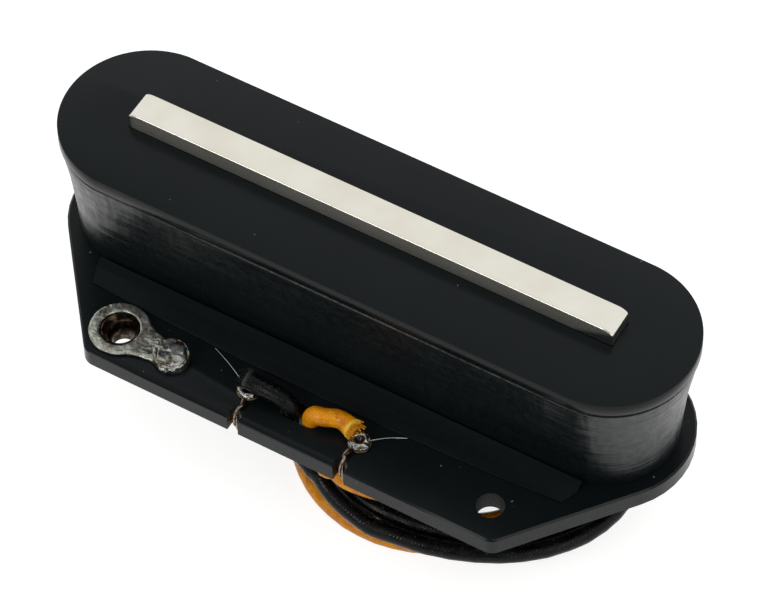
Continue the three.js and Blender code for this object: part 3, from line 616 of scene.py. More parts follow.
# %% Plain bodies
def plain_body(name, dark, light, grain_size, roughness, relief):
    material, add, shader, place = new_material(name)
    clouds = add("TexNoise", {"Vector": place, "Scale": grain(8 * grain_size), "Detail": 4.0})
    grit = add("TexNoise", {"Vector": place, "Scale": grain(grain_size), "Detail": 5.0})
    base = add("ValToRGB", {"Fac": clouds}, [(0.3, dark), (0.7, light)])
    low, high = roughness
    rough = add("ValToRGB", {"Fac": grit}, [(0.3, low), (0.7, high)])
    bump = add("Bump", {"Height": grit, "Strength": 0.6, "Distance": relief * MM})
    connect(material, shader, {"Base Color": base, "Roughness": rough, "Normal": bump, "IOR": 1.5})
    return material


# %% [markdown]
# Each line gives a finish its name and its numbers, in the order of its function: the colours, the
# range of roughness, where stains begin (higher means fewer of them) and the relief's height in
# millimetres. A plain body has its grain's size before them, tape has its unevenness, roughness
# and shine, and cloth its shine.

# %% All the finishes
FINISHES = {
    "fibre": vulcanised_fibre("black_fibre", "#181a1a", "#252828"),
    # Painted shade: the upper sheet's edge colours are darker than the fibre's own edge.
    "top_fibre_painted_edge_shade": vulcanised_fibre("black_fibre_painted_edge_shade", "#090b0c", "#0f1213"),
    "blade_steel": ground_steel(),
    "tape": coil_tape("coil_tape", 1.0, 0.26, 0.32),
    "foot_strip": coil_tape("flat_strip_tape", 0.2, 0.16, 0.07),
    # The cloth's pale colour also paints its highlight flecks, and its deep colour the shade in its
    # hollows.
    "yellow_cloth": waxed_braid("waxed_yellow_cotton", "#ffd248", "#f8a208", "#c66e00", 0.34),
    "black_cloth": waxed_braid("waxed_black_cotton", "#3c3d3b", "#070909", "#040505", 0.2),
    "tinned_metal": stained_metal("tinned_brass", "#c2c3b8", "#85867b", "#54492f", (0.22, 0.42), 0.6, 0.03),
    "solder": stained_metal("flowed_solder", "#d4d6d4", "#8d8f88", "#5c4d2c", (0.15, 0.32), 0.56, 0.02),
    "brass": stained_metal("stained_brass", "#8a7a54", "#5a4c30", "#20160d", (0.3, 0.5), 0.5, 0.02),
    "fluxed_bush": stained_metal("fluxed_brass", "#6b5a49", "#382c24", "#120d09", (0.25, 0.45), 0.45, 0.04),
    "copper": stained_metal("enamelled_copper", "#c8764a", "#a85a32", "#7a4026", (0.25, 0.4), 0.7, 0.005),
    "bare_core": stained_metal("fluxed_core", "#a38f7c", "#5e4a3c", "#2c1f17", (0.2, 0.35), 0.55, 0.01),
    "fine_wire": stained_metal("fine_coil_wire", "#e2dfda", "#c4bfb8", "#8c8278", (0.2, 0.35), 0.72, 0.002),
    "flux": plain_body("burnt_flux", "#0e0a07", "#2a1b0e", 0.2, (0.1, 0.3), 0.03),
    # Painted shade: the screw holes' walls are coloured nearly black.
    "hole_wall": plain_body("unlit_fibre", "#040404", "#080808", 0.3, (0.6, 0.8), 0.01),
    "ferrite": plain_body("sintered_ferrite", "#2b2c2e", "#3a3b3d", 0.25, (0.55, 0.75), 0.03),
    "paper": plain_body("varnished_paper", "#7d6a44", "#98845a", 0.6, (0.4, 0.55), 0.02),
}


def finish(piece, *names):
    piece.data.materials.clear()
    for name in names:
        piece.data.materials.append(FINISHES[name])


for name, lead in LEADS.items():
    finish(lead["cloth"], name + "_cloth")
    finish(lead["stub"], name + "_cloth")
    finish(lead["tip"], "tinned_metal")
print("finishes:", ", ".join(FINISHES))

# %% [markdown]
# ## Tools for the solid pieces
# A piece starts as a primitive at its size and place and is then shaped in edit mode. Operators act
# on all that is selected, so everything is deselected before a piece is added, and faces and edges
# are picked by where they lie. A CAD piece whose shape is already right is copied: the copy's loose
# triangles are joined, and its flat faces are made whole again. Most copies then get finely rounded
# edges.


# %% Adding and selecting
def only(piece):
    bpy.ops.object.select_all(action="DESELECT")
    piece.select_set(True)
    bpy.context.view_layer.objects.active = piece


def added(name):
    """The primitive that was just added, with its size and place moved into its mesh."""
    piece = bpy.context.object
    piece.name = name
    piece.data.name = name
    only(piece)
    bpy.ops.object.transform_apply(location=True, rotation=True, scale=True)
    return piece


def select_parts(piece, kind, test):
    """Selects the edges or faces that pass the test, and leaves edit mode on."""
    only(piece)
    bpy.ops.object.mode_set(mode="EDIT")
    bpy.ops.mesh.select_mode(type=kind)
    bpy.ops.mesh.select_all(action="DESELECT")
    shape = bmesh.from_edit_mesh(piece.data)
    for part in (shape.edges if kind == "EDGE" else shape.faces):
        part.select_set(test(part))
    bmesh.update_edit_mesh(piece.data)


def select_edges(piece, test):
    """Selects the edges whose two ends, in millimetres, pass the test."""
    select_parts(piece, "EDGE", lambda edge: test(*(v.co / MM for v in edge.verts)))


def edit_whole(piece, *steps):
    """Runs each step in edit mode, with everything selected before it."""
    only(piece)
    bpy.ops.object.mode_set(mode="EDIT")
    for operator, settings in steps:
        bpy.ops.mesh.select_all(action="SELECT")
        operator(**settings)
    bpy.ops.object.mode_set(mode="OBJECT")


def apply_modifier(piece, kind, **settings):
    only(piece)
    modifier = piece.modifiers.new(kind.title(), kind)
    for key, value in settings.items():
        setattr(modifier, key, value)
    bpy.ops.object.modifier_apply(modifier=modifier.name)


def smooth(piece, angle=35):
    only(piece)
    bpy.ops.object.shade_smooth_by_angle(angle=math.radians(angle))


def rounded(piece, width, segments=2):
    apply_modifier(piece, "BEVEL", width=width * MM, segments=segments, limit_method="ANGLE",
                   angle_limit=math.radians(35))
    smooth(piece)


def settle(piece, node, slot, *finishes):
    """Without any, it takes the one that has its slot's name."""
    declare(piece, slot, node)
    finish(piece, *(finishes or (slot,)))


def sizes(piece):
    bpy.context.view_layer.update()
    return [round(v / MM, 2) for v in piece.dimensions]


def map_wrap(piece, place_on_map):
    """Gives the piece the map that the tape's finish reads, in millimetres."""
    wrap = piece.data.uv_layers.new(name="wrap")
    for loop in piece.data.loops:
        place = piece.data.vertices[loop.vertex_index].co / MM
        wrap.data[loop.index].uv = place_on_map(place)


# %% Copying a CAD piece
def cad_copy(node, name, slot, *finishes):
    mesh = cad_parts[node].data.copy()
    mesh.name = name
    piece = new_object(name, mesh)
    edit_whole(
        piece,
        (bpy.ops.mesh.remove_doubles, {"threshold": 0.001 * MM}),
        (bpy.ops.mesh.dissolve_limited, {"angle_limit": math.radians(0.5)}),
    )
    settle(piece, node, slot, *finishes)
    return piece


# %% [markdown]
# ## The upper sheet
# The upper sheet is a stadium: two half circles joined by straight sides. A cylinder becomes one
# when its two halves are pulled apart. Its edges get a narrow rounding, as sanding leaves them. The
# slot for the bar is cut with a box after that, so that the slot's edges stay sharp and the bar
# stands in the fibre without a visible gap.

# %% Upper sheet
SHEET_LENGTH = 69.5
SHEET_WIDTH = 17.8
TOP_FACE_HEIGHT = 17.5
TOP_SHEET_THICKNESS = 1.6
BLADE_LENGTH = 54.0
BLADE_THICKNESS = 3.2
SLOT_CLEARANCE = 0.05
SANDED_ROUNDING = 0.08
END_CENTRE_X = (SHEET_LENGTH - SHEET_WIDTH) / 2
END_RADIUS = SHEET_WIDTH / 2


def stadium(name, radius, bottom, top, vertices=98):
    """A cylinder whose two halves are pulled apart along X. The vertices in its middle go to the
    right, so at the left end each straight side runs one step into the curve, which moves it by
    less than 0.02 mm."""
    bpy.ops.object.select_all(action="DESELECT")
    bpy.ops.mesh.primitive_cylinder_add(
        vertices=vertices, radius=radius * MM, depth=(top - bottom) * MM,
        location=(0, 0, (top + bottom) / 2 * MM))
    piece = added(name)
    for vertex in piece.data.vertices:
        vertex.co.x += math.copysign(END_CENTRE_X * MM, vertex.co.x)
    return piece


def block(name, size, place):
    bpy.ops.object.select_all(action="DESELECT")
    bpy.ops.mesh.primitive_cube_add(size=1, location=mm(*place), scale=mm(*size))
    return added(name)


def cut(piece, cutter):
    apply_modifier(piece, "BOOLEAN", operation="DIFFERENCE", object=cutter, solver="EXACT")
    bpy.data.objects.remove(cutter)


top_underside = TOP_FACE_HEIGHT - TOP_SHEET_THICKNESS
top_sheet = stadium("top_sheet", END_RADIUS, top_underside, TOP_FACE_HEIGHT)
top_middle = (top_underside + TOP_FACE_HEIGHT) / 2
slot_size = (
    BLADE_LENGTH + 2 * SLOT_CLEARANCE,
    BLADE_THICKNESS + 2 * SLOT_CLEARANCE,
    2 * TOP_SHEET_THICKNESS,
)
rounded(top_sheet, SANDED_ROUNDING)
cut(top_sheet, block("slot", slot_size, (0, 0, top_middle)))
smooth(top_sheet)
# The upper sheet takes the fibre whose edge carries painted shade.
settle(top_sheet, "top_flatwork", "fibre", "top_fibre_painted_edge_shade")
print("upper sheet:", sizes(top_sheet), "mm")

# %% [markdown]
# ## The lower sheet
# The lower sheet has the whole outline that the CAD gives it, with its wide front side, its ear,
# three screw holes, the eyelets' holes and the long hole for the leads. The copy keeps all of them,
# and the walls of the two front screw holes take their own nearly black finish, which is painted
# shade for the little light that reaches into them.

# %% Lower sheet
SCREW_X = 20.9
SCREW_HOLE_REACH = 1.6
base_sheet = cad_copy("base_flatwork", "base_sheet", "fibre", "fibre", "hole_wall")
for face in base_sheet.data.polygons:
    place = face.center / MM
    from_screw = math.hypot(abs(place.x) - SCREW_X, place.y + HOLE_ROW)
    # Painted shade: these walls take the nearly black finish.
    if abs(face.normal.z) < 0.5 and from_screw < SCREW_HOLE_REACH:
        face.material_index = 1
smooth(base_sheet, 40)
print("lower sheet faces:", len(base_sheet.data.polygons))

# %% [markdown]
# ## The bar
# The bar starts as a box. At both ends of its top the edge is ground off in a shallow curve, which
# runs further along the bar than down, so a round bevel is made first and then flattened. Last, all
# edges get a narrow rounding, as grinding leaves them.

# %% Steel bar
BLADE_TOP = 19.55
BLADE_BOTTOM = -3.2
END_CURVE_LENGTH = 1.2
END_CURVE_DROP = 0.65
GROUND_ROUNDING = 0.12
NEAR = 0.01
blade_height = BLADE_TOP - BLADE_BOTTOM
blade_size = (BLADE_LENGTH, BLADE_THICKNESS, blade_height)
blade = block("steel_bar", blade_size, (0, 0, BLADE_TOP - blade_height / 2))
select_edges(blade, lambda a, b: min(a.z, b.z) > BLADE_TOP - NEAR and abs(a.x - b.x) < NEAR)
bpy.ops.mesh.bevel(offset=END_CURVE_LENGTH * MM, offset_type="OFFSET", segments=10, affect="EDGES")
bpy.ops.object.mode_set(mode="OBJECT")
for vertex in blade.data.vertices:
    down = BLADE_TOP * MM - vertex.co.z
    if down < 2 * END_CURVE_LENGTH * MM:
        vertex.co.z = BLADE_TOP * MM - down * END_CURVE_DROP / END_CURVE_LENGTH
rounded(blade, GROUND_ROUNDING, 3)
settle(blade, "blade", "blade_steel")
print("bar:", sizes(blade), "mm")

# %% [markdown]
# ## The taped coil
# The wire is wound fuller towards the upper sheet, so the coil leans in towards its foot. The CAD
# coil is too wide at its foot, and here it has the form of the photograph. Close under the sheet
# the tape turns in again over a short shoulder, which leaves a dark gap line. The piece starts as
# the same stadium. Its side is cut into rows, and each row is drawn in by a formula. The winding is
# fuller at the left end, and tape over wire is never perfectly flat, so a bulge and a slight
# unevenness are added. The same function makes the copper under the tape.

# %% Coil's shape
COIL_BOTTOM = 2.35
COIL_TOP = 15.85
FOOT_RADIUS = 7.4
TOP_RADIUS = 8.78
LEAN_POWER = 1.7
SHOULDER_HEIGHT = 0.6
SHOULDER_ROUNDING = 0.35
SHOULDER_DEPTH = 0.8
LEFT_BULGE = 0.35
BULGE_FADE = 6
UNEVENNESS = 0.06
UNEVEN_LENGTH = 7
UNEVEN_HEIGHT = 3
UNEVEN_FADE = 2
TAPE_ROWS = 96
COPPER_ROWS = 16
END_SIDES = 194
STRAIGHT_CUTS = 51
TAPE_THICKNESS = 0.25
TAPE_TO_COPPER = 0.05
CORE_RADIUS_WITH_PAPER = 2.35


def coil_radius(height):
    share = (height - COIL_BOTTOM) / (COIL_TOP - COIL_BOTTOM)
    over_shoulder = height - (COIL_TOP - SHOULDER_HEIGHT)
    into_shoulder = max(0.0, min(1.0, over_shoulder / SHOULDER_ROUNDING))
    lean = (TOP_RADIUS - FOOT_RADIUS) * share ** LEAN_POWER
    return FOOT_RADIUS + lean - SHOULDER_DEPTH * into_shoulder ** 2


def shape_coil(piece, inset, rows):
    """Cuts the stadium's side into rows and draws each one to its radius, less the inset."""
    select_edges(piece, lambda a, b: abs(a.z - b.z) > 1)
    bpy.ops.mesh.subdivide(number_cuts=rows - 1, ngon=False)
    bpy.ops.object.mode_set(mode="OBJECT")
    for vertex in piece.data.vertices:
        place = vertex.co / MM
        centre_x = max(-END_CENTRE_X, min(END_CENTRE_X, place.x))
        outward = Vector((place.x - centre_x, place.y, 0)).normalized()
        above = place.z - COIL_BOTTOM
        below = COIL_TOP - place.z
        uneven = UNEVENNESS * noise.noise(Vector((
            place.x / UNEVEN_LENGTH, place.y / UNEVEN_LENGTH, place.z / UNEVEN_HEIGHT)))
        edge_share = max(0.0, min(1.0, above / UNEVEN_FADE, below / UNEVEN_FADE))
        bulge = LEFT_BULGE * max(0.0, -outward.x) ** 2 * min(1.0, below / BULGE_FADE)
        reach = coil_radius(min(place.z, COIL_TOP)) + uneven * edge_share + bulge - inset
        vertex.co = (Vector((centre_x, 0, place.z)) + outward * reach) * MM


# %% Coil tape
taped_coil = stadium("taped_coil", FOOT_RADIUS, COIL_BOTTOM, COIL_TOP, END_SIDES)
select_parts(taped_coil, "FACE", lambda face: abs(face.normal.z) > 0.5)
bpy.ops.mesh.delete(type="ONLY_FACE")
bpy.ops.object.mode_set(mode="OBJECT")
select_edges(taped_coil, lambda a, b: abs(a.x - b.x) > END_CENTRE_X)
bpy.ops.mesh.subdivide(number_cuts=STRAIGHT_CUTS, quadcorner="INNERVERT", ngon=False)
bpy.ops.object.mode_set(mode="OBJECT")
shape_coil(taped_coil, 0.0, TAPE_ROWS)

# %% Copper under the tape
copper = stadium("wound_copper", FOOT_RADIUS, COIL_BOTTOM, COIL_TOP)
shape_coil(copper, TAPE_THICKNESS + TAPE_TO_COPPER, COPPER_ROWS)
cut(copper, stadium("core_hole", CORE_RADIUS_WITH_PAPER, COIL_BOTTOM - 1, COIL_TOP + 1))
smooth(copper)
settle(copper, "coil_winding", "copper")
print("copper:", len(copper.data.polygons), "faces")


# %% Coil tape's wrap map and finish
def around_coil(x, y):
    """How far round the coil a place lies, in millimetres from the left end of its front side.
    The map's seam lies at the left end of the rear side."""
    straight = 2 * END_CENTRE_X
    if abs(x) <= END_CENTRE_X:
        return x + END_CENTRE_X if y < 0 else straight + math.pi * FOOT_RADIUS + END_CENTRE_X - x
    centre = math.copysign(END_CENTRE_X, x)
    angle = math.atan2(y, abs(x - centre))
    if x > 0:
        return straight + (angle + math.pi / 2) * FOOT_RADIUS
    return -(angle + math.pi / 2) * FOOT_RADIUS


map_wrap(taped_coil, lambda place: (around_coil(place.x, place.y), place.z))
apply_modifier(taped_coil, "SOLIDIFY", thickness=TAPE_THICKNESS * MM, offset=-1)
smooth(taped_coil, 50)
settle(taped_coil, "coil_tape", "tape")
print("coil tape:", sizes(taped_coil), "mm")

# %% [markdown]
# ## The strip on the foot
# A strip of the same tape lies along the coil's front foot and holds the two fine wire ends down.
# It is pressed into the corner, so behind its flat part it climbs towards the coil. The copy of the
# flat CAD strip has its rear face extruded twice, up the corner, and its edges are rounded.

# %% Foot strip
STRIP_CLIMB = [(0, 0.12, 0.06), (0, 0.85, 0.5)]
STRIP_ROUNDING = 0.05
foot_strip = cad_copy("foot_tape", "foot_strip", "tape", "foot_strip")
select_parts(foot_strip, "FACE", lambda face: face.normal.y > 0.9)
for step in STRIP_CLIMB:
    bpy.ops.mesh.extrude_region_move(TRANSFORM_OT_translate={"value": mm(*step)})
bpy.ops.object.mode_set(mode="OBJECT")
rounded(foot_strip, STRIP_ROUNDING)
map_wrap(foot_strip, lambda place: (place.x, place.y))
print("foot strip:", sizes(foot_strip), "mm")

# %% [markdown]
# ## The ground lug
# The lug is stamped from tinned brass: a ring round the screw hole, a neck, and a cup for solder.
# Dipping in tin and soldering leave its edges thick and soft, and crumbly round the cup. A voxel
# remesh of the CAD shape gives a fine even mesh, smoothing melts its edges, and a slow and a fast
# noise push the skin in and out. Each lump has a height for the whole lug and one added by the cup.

# %% Ground lug
LUG_CUP = Vector((-14.82, -14.6, 0))
LUG_FOOT = 2.32
LUG_VOXEL = 0.08
LUG_SMOOTHING = 12
SOLDERED_REACH = 3.6
SOLDERED_FADE = 1.6
SLOW_LUMP = (0.04, 0.08)
FAST_LUMP = (0.015, 0.04)
lug = cad_copy("ground_lug", "stamped_lug", "tinned_metal")
apply_modifier(lug, "REMESH", mode="VOXEL", voxel_size=LUG_VOXEL * MM)
apply_modifier(lug, "SMOOTH", factor=0.5, iterations=LUG_SMOOTHING)
for vertex in lug.data.vertices:
    place = vertex.co / MM
    from_cup = (Vector((place.x, place.y, 0)) - LUG_CUP).length
    soldered = max(0.0, min(1.0, (SOLDERED_REACH - from_cup) / SOLDERED_FADE))
    slow_lump = (SLOW_LUMP[0] + SLOW_LUMP[1] * soldered) * noise.noise(place * 1.6)
    fast_lump = (FAST_LUMP[0] + FAST_LUMP[1] * soldered) * noise.noise(place * 5)
    if place.z > LUG_FOOT + 0.1:
        vertex.co += vertex.normal * (slow_lump + fast_lump) * MM
smooth(lug, 80)
print("lug:", len(lug.data.polygons), "faces")

# %% [markdown]
# ## The bush in the screw hole
# A brass bush lines the left screw hole. Its mouth fills the lug's ring as a funnel, dark with
# burnt flux, and only a little light comes up through its bore. It is a turned part, so its profile
# is drawn as a chain of vertices and spun round the hole's axis. The lug's ring sits a little to
# the left of the hole, so the funnel's mouth leans that way.

# %% Screw bush
BUSH_CENTRE = mm(-SCREW_X, -HOLE_ROW, 0)
BORE_RADIUS = 1.15
BUSH_RADIUS = 1.55
FLANGE_RADIUS = 2.4
FLANGE_BOTTOM = -0.4
FLANGE_TOP = -0.02
FUNNEL_FOOT = 1.2
FUNNEL_HEIGHT = 1.1
BUSH_PROFILE = [
    (BORE_RADIUS, FLANGE_BOTTOM), (FLANGE_RADIUS, FLANGE_BOTTOM), (FLANGE_RADIUS, FLANGE_TOP),
    (BUSH_RADIUS, FLANGE_TOP), (BUSH_RADIUS, BASE_SHEET_THICKNESS), (1.9, 2.37), (1.9, 2.62),
    (1.78, 2.66), (1.5, 2.1), (1.3, 1.7), (BORE_RADIUS, FUNNEL_FOOT),
]
MOUTH_SHIFT = 0.3
mesh = bpy.data.meshes.new("screw_bush")
points = [BUSH_CENTRE + mm(radius, 0, height) for radius, height in BUSH_PROFILE]
count = len(points)
mesh.from_pydata(points, [(i, (i + 1) % count) for i in range(count)], [])
bush = new_object("screw_bush", mesh)
whole_turn = {"steps": 64, "angle": 2 * math.pi, "center": BUSH_CENTRE, "axis": (0, 0, 1)}
edit_whole(
    bush,
    (bpy.ops.mesh.spin, whole_turn),
    (bpy.ops.mesh.remove_doubles, {"threshold": 0.002 * MM}),
    (bpy.ops.mesh.normals_make_consistent, {"inside": False}),
)
for vertex in bush.data.vertices:
    place = (vertex.co - BUSH_CENTRE) / MM
    inside = math.hypot(place.x, place.y) < BUSH_RADIUS - NEAR
    if inside or place.z > BASE_SHEET_THICKNESS + NEAR:
        mouth_share = max(0.0, min(1.0, (place.z - FUNNEL_FOOT) / FUNNEL_HEIGHT))
        vertex.co.x -= MOUTH_SHIFT * mouth_share * MM
smooth(bush, 50)
settle(bush, "lug_bush", "brass", "fluxed_bush")
print("bush:", sizes(bush), "mm")

# %% [markdown]
# ## Solder
# Solder sets as a drop with a lumpy skin. Each drop is a ball pressed between two heights, and its
# skin is pulled in and out by noise. In an eyelet the solder wets only the rolled rim, and a pool
# of burnt flux is left in the middle, so there the top sinks in and takes a second finish. The
# lug's drop has no pool, but some of its rear rim is stained by flux.


# %% Solder drops
DROP_SQUARENESS = 0.7
POOL_DEPTH = 1.2
FLUX_REACH = 0.8
BURNT_FROM = 0.65


def solder_drop(name, node, centre, radius, low, high, seed, pool=0.0, lumps=0.16):
    bpy.ops.object.select_all(action="DESELECT")
    bpy.ops.mesh.primitive_uv_sphere_add(segments=56, ring_count=40, radius=1, location=(0, 0, 0))
    drop = added(name)
    middle = (low + high) / 2
    for vertex in drop.data.vertices:
        ball = vertex.co.copy()
        pull = 1 + lumps * noise.noise(ball * 1.6 + Vector((seed, 0, 0)))
        pull += lumps / 2 * noise.noise(ball * 4 + Vector((0, seed, 0)))
        flat = math.copysign(abs(ball.z) ** DROP_SQUARENESS, ball.z)
        sunk = 0.0
        if pool and ball.z > 0:
            sunk = POOL_DEPTH * max(0.0, 1 - math.hypot(ball.x, ball.y) / pool)
        height = max(-1.0, min(1.0, flat * (1 - sunk) * pull))
        vertex.co = mm(
            centre[0] + ball.x * radius * pull,
            centre[1] + ball.y * radius * pull,
            middle + height * (high - low) / 2,
        )
    smooth(drop, 80)
    settle(drop, node, "solder", "solder", "flux")
    for face in drop.data.polygons:
        away = face.center / MM - Vector((*centre, 0))
        burnt = noise.noise(face.center / MM * 1.5) + away.y / radius > BURNT_FROM and not pool
        if face.normal.z > 0 and (burnt or math.hypot(away.x, away.y) < radius * pool * FLUX_REACH):
            face.material_index = 1


# Name, CAD node, centre, radius, foot, top, seed of the noise, share of the pool, height of lumps.
joints = [
    ("lug_solder_drop", "lug_solder", LUG_CUP.xy, 1.78, 2.75, 3.72, 3, 0.0, 0.22),
    ("left_joint_drop", "left_solder_joint", (-EYELET_X, -HOLE_ROW), 0.98, 2.35, 2.95, 5, 0.72, 0.24),
    ("right_joint_drop", "right_solder_joint", (EYELET_X, -HOLE_ROW), 1.05, 2.35, 3.2, 8, 0.6, 0.3),
]
for joint in joints:
    solder_drop(*joint)
print("solder drops:", len(joints))

# %% Eyelets
SMALL_ROUNDING = 0.06
for side in ("left", "right"):
    eyelet = cad_copy(side + "_eyelet", side + "_rolled_eyelet", "brass")
    rounded(eyelet, SMALL_ROUNDING)
print("eyelets:", sizes(eyelet), "mm")

# %% [markdown]
# ## Wires
# The bare cores run from the solder over the sheet's edge, down the notches and back underneath.
# Each is a stranded wire, drawn as two strands that wind round one line. The coil wire's two ends
# are as fine as hair. They get tubes of their own, a little thinner than the CAD ones, which spring
# up between the strip and the joint.

# %% Bare cores
NOTCH_X = 6.0
NOTCH_INSIDE_Y = -17.075
UNDER_SHEET = -0.52
ON_SHEET = 2.72
STRAND_RADIUS = 0.15
STRAND_LAY = 7.0
CORE_SPACING = 0.12


def twisted_strand(line, angle):
    """A line that winds round the given one, with one turn in each lay."""
    strand = []
    for i, place in enumerate(line):
        way = (line[min(i + 1, len(line) - 1)] - line[max(i - 1, 0)]).normalized()
        turned = angle + 2 * math.pi * i * CORE_SPACING / STRAND_LAY
        aside = Vector((1, 0, 0))
        outward = aside * math.cos(turned) + way.cross(aside) * math.sin(turned)
        strand.append(place + outward * STRAND_RADIUS)
    return strand


def joined(name, pieces):
    """Makes one piece of several."""
    only(pieces[0])
    for piece in pieces:
        piece.select_set(True)
    bpy.ops.object.join()
    pieces[0].name = name
    pieces[0].data.name = name
    return pieces[0]


for name, side in (("yellow", 1), ("black", -1)):
    x = side * NOTCH_X
    route = even_line(smooth_line([
        (x, -15.32, ON_SHEET), (x - side * 0.14, -16.2, ON_SHEET), (x, -16.515, ON_SHEET),
        (x, NOTCH_INSIDE_Y, 2.02), (x, NOTCH_INSIDE_Y, 0.28), (x, -16.515, UNDER_SHEET),
        (x + side * 0.14, -15.12, UNDER_SHEET)]), CORE_SPACING)
    strands = [tube("strand", in_metres(twisted_strand(route, angle)), STRAND_RADIUS * MM, 12)
               for angle in (0, math.pi)]
    core = joined(name + "_bare_core", strands)
    settle(core, name + "_lead_core", "tinned_metal", "bare_core")
    print(name, "core:", round(length_of(route), 1), "mm long")

# %% Fine wire ends
FINE_WIRE_RADIUS = 0.055
STRIP_EDGE = 11.3
WIRE_RISE = 0.25
WIRE_ON_SHEET = 0.12
WIRE_ON_JOINT = 0.4
WIRE_SHORT_OF_JOINT = 0.9
WIRE_SPACING = 0.1
for node, start_x, joint_x in (
        ("coil_start_wire", -11.85, -EYELET_X), ("coil_finish_wire", 10.05, EYELET_X)):
    start = Vector((start_x, -STRIP_EDGE, BASE_SHEET_THICKNESS + WIRE_ON_SHEET))
    joint = Vector((joint_x, -HOLE_ROW, BASE_SHEET_THICKNESS + WIRE_ON_JOINT))
    end = joint + (start - joint).normalized() * WIRE_SHORT_OF_JOINT
    middle = (start + end) / 2 + Vector((0, 0, WIRE_RISE))
    line = even_line(smooth_line([start, middle, end]), WIRE_SPACING)
    wire = tube(node.replace("coil_", "fine_"), in_metres(line), FINE_WIRE_RADIUS * MM, 8)
    settle(wire, node, "copper", "fine_wire")
    print(node, "is", round(length_of(line), 1), "mm long")

# %% [markdown]
# ## Frayed ends
# Cotton braid frays where it is cut. Short stiff threads stand out all round the cut end, each with
# its own length and lean. Each stands for a few fibres of the yarn that stick together with wax.

# %% Frayed ends of the cloth
THREAD_RADIUS = 0.06
THREADS = 46
THREAD_ROOT_DEPTH = 0.3
THREAD_BOW = 0.06
random.seed(7)
for name, lead in LEADS.items():
    end = lead["stub_line"][0]
    outwards = (lead["stub_line"][0] - lead["stub_line"][1]).normalized()
    aside = outwards.orthogonal().normalized()
    threads = []
    for i in range(THREADS):
        angle = 2 * math.pi * (i + random.uniform(-0.4, 0.4)) / THREADS
        around = aside * math.cos(angle) + outwards.cross(aside) * math.sin(angle)
        root = end + around * LEAD_RADIUS * random.uniform(0.55, 1.08) - outwards * THREAD_ROOT_DEPTH
        lean = around * random.uniform(-0.35, 0.3) + Vector((0, 0, random.uniform(-0.35, 0.05)))
        tip_place = root + (outwards + lean) * random.uniform(0.5, 1.1)
        middle = (root + tip_place) / 2 + around * THREAD_BOW
        line = in_metres(smooth_line([root, middle, tip_place], 3))
        threads.append(tube("thread", line, THREAD_RADIUS * MM, 6))
    fringe = joined(name + "_frayed_end", threads)
    declare(fringe, name + "_cloth")
    finish(fringe, name + "_cloth")
print("threads in each frayed end:", THREADS)

# %% [markdown]
# ## Inside and underneath
# The bar magnets lie on both sides of the bar's foot. The paper round the core shows nowhere, but
# has its own finish.

# %% Magnets and paper
for side in ("front", "rear"):
    magnet = cad_copy(side + "_bar_magnet", side + "_magnet", "ferrite")
    rounded(magnet, SMALL_ROUNDING)
finish(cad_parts["core_insulation"], "paper")
print("each magnet:", sizes(magnet), "mm")

# %% [markdown]
# ## Floor and light
# The pickup stands on its coiled leads on a pale floor in a white room. The room is bright behind
# the pickup, where the bar's top and its curved ends mirror it, and dim in front, so that the
# front's black surfaces stay black. Two soft lamps light the front. The floor glows for the rays
# that the camera, reflections and clear things see it by, so it looks white, and for all other
# light it is an ordinary grey floor that keeps the pickup's soft shadow. The room does the same. The
# camera sees it white all round, and reflections see it white behind and beside the pickup. Only
# their view of its front is dim.

# %% Floor
FLOOR_HEIGHT = -9.85
FLOOR_GLOW = 0.78
FLOOR_WIDTH_IN_METRES = 6
bpy.ops.object.select_all(action="DESELECT")
bpy.ops.mesh.primitive_plane_add(size=FLOOR_WIDTH_IN_METRES, location=mm(0, 0, FLOOR_HEIGHT))
floor = added("floor")
floor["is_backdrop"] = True
floor_paint, add, floor_shader, _ = new_material("white_floor")
rays = add("LightPath").outputs
seen = add("Math", {0: rays["Is Camera Ray"], 1: rays["Is Glossy Ray"]}, operation="MAXIMUM")
seen = add("Math", {0: seen, 1: rays["Is Transmission Ray"]}, operation="MAXIMUM")
glow = add("Math", {0: seen, 1: FLOOR_GLOW}, operation="MULTIPLY")
connect(floor_paint, floor_shader, {
    "Base Color": linear("#b9b9b7"), "Roughness": 0.9, "Specular IOR Level": 0.1,
    "Emission Color": (1, 1, 1, 1), "Emission Strength": glow})
floor.data.materials.append(floor_paint)

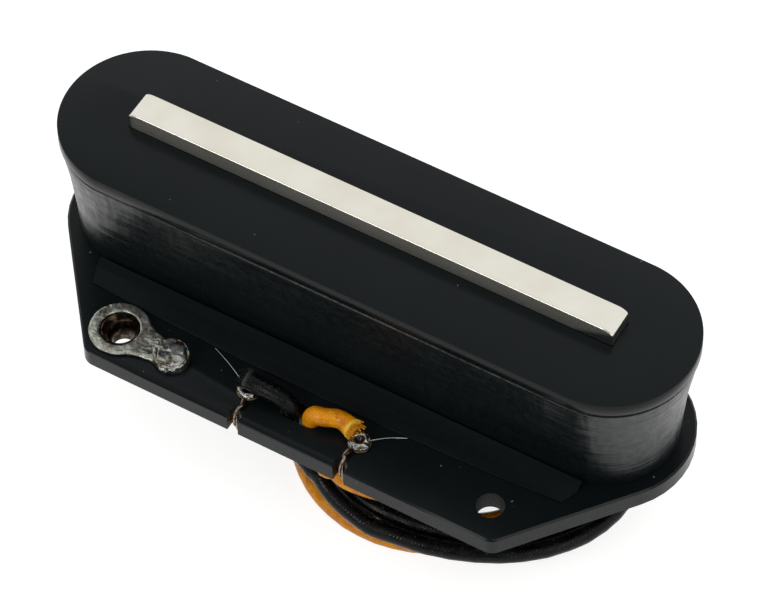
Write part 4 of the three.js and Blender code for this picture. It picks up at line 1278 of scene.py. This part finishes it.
# %% World
DIM_FRONT = 0.3
BRIGHT_BACK = 0.93
FRONT_ENDS = -0.5
BACK_STARTS = 0.25
world = bpy.data.worlds.new("white_room")
world.use_nodes = True
bpy.context.scene.world = world
add = functools.partial(add_node, world)
ray_direction = add("TexCoord").outputs["Generated"]
direction = add("SeparateXYZ", {"Vector": ray_direction})
backdrop = add("MapRange", {
    "Value": direction.outputs["Y"], "From Min": FRONT_ENDS, "From Max": BACK_STARTS})
room = add("Math", {0: backdrop, 1: BRIGHT_BACK - DIM_FRONT, 2: DIM_FRONT}, operation="MULTIPLY_ADD")
rays = add("LightPath").outputs
mirrored = add("Math", {0: rays["Is Glossy Ray"], 1: rays["Is Transmission Ray"]}, operation="MAXIMUM")
mirrored = add("Math", {0: mirrored, 1: backdrop}, operation="MULTIPLY")
seen = add("Math", {0: rays["Is Camera Ray"], 1: mirrored}, operation="MAXIMUM")
level = add("Math", {0: seen, 1: room}, operation="MAXIMUM")
connect(world, world.node_tree.nodes["Background"], {"Color": (1, 1, 1, 1), "Strength": level})


# %% Lamps
def soft_box(name, place, width, height, brightness):
    """A lamp that faces the pickup. Its place and size are in metres, because it stands far off.
    Seen directly, a brightness of 1 is plain white."""
    lamp_data = bpy.data.lights.new(name, "AREA")
    lamp_data.shape = "RECTANGLE"
    lamp_data.size = width
    lamp_data.size_y = height
    lamp_data.energy = brightness * math.pi * width * height
    lamp = new_object(name, lamp_data)
    away = Vector(place)
    lamp.matrix_world = Matrix.Translation(away) @ away.to_track_quat("Z", "Y").to_matrix().to_4x4()


soft_box("key", place=(-0.35, -0.75, 0.55), width=0.5, height=0.4, brightness=4.0)
soft_box("fill", place=(0.75, -0.35, 0.4), width=0.4, height=0.4, brightness=2.0)
print("lamps:", ", ".join(data.name for data in bpy.data.lights))

# %% View
bpy.context.scene.view_settings.view_transform = "Standard"

# %% Sizes
scene_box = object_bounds()
boxes = {"CAD": cad_box, "visual": scene_box}
for name, box in boxes.items():
    print(name, "box in mm:", [[round(value / MM, 2) for value in corner] for corner in box])
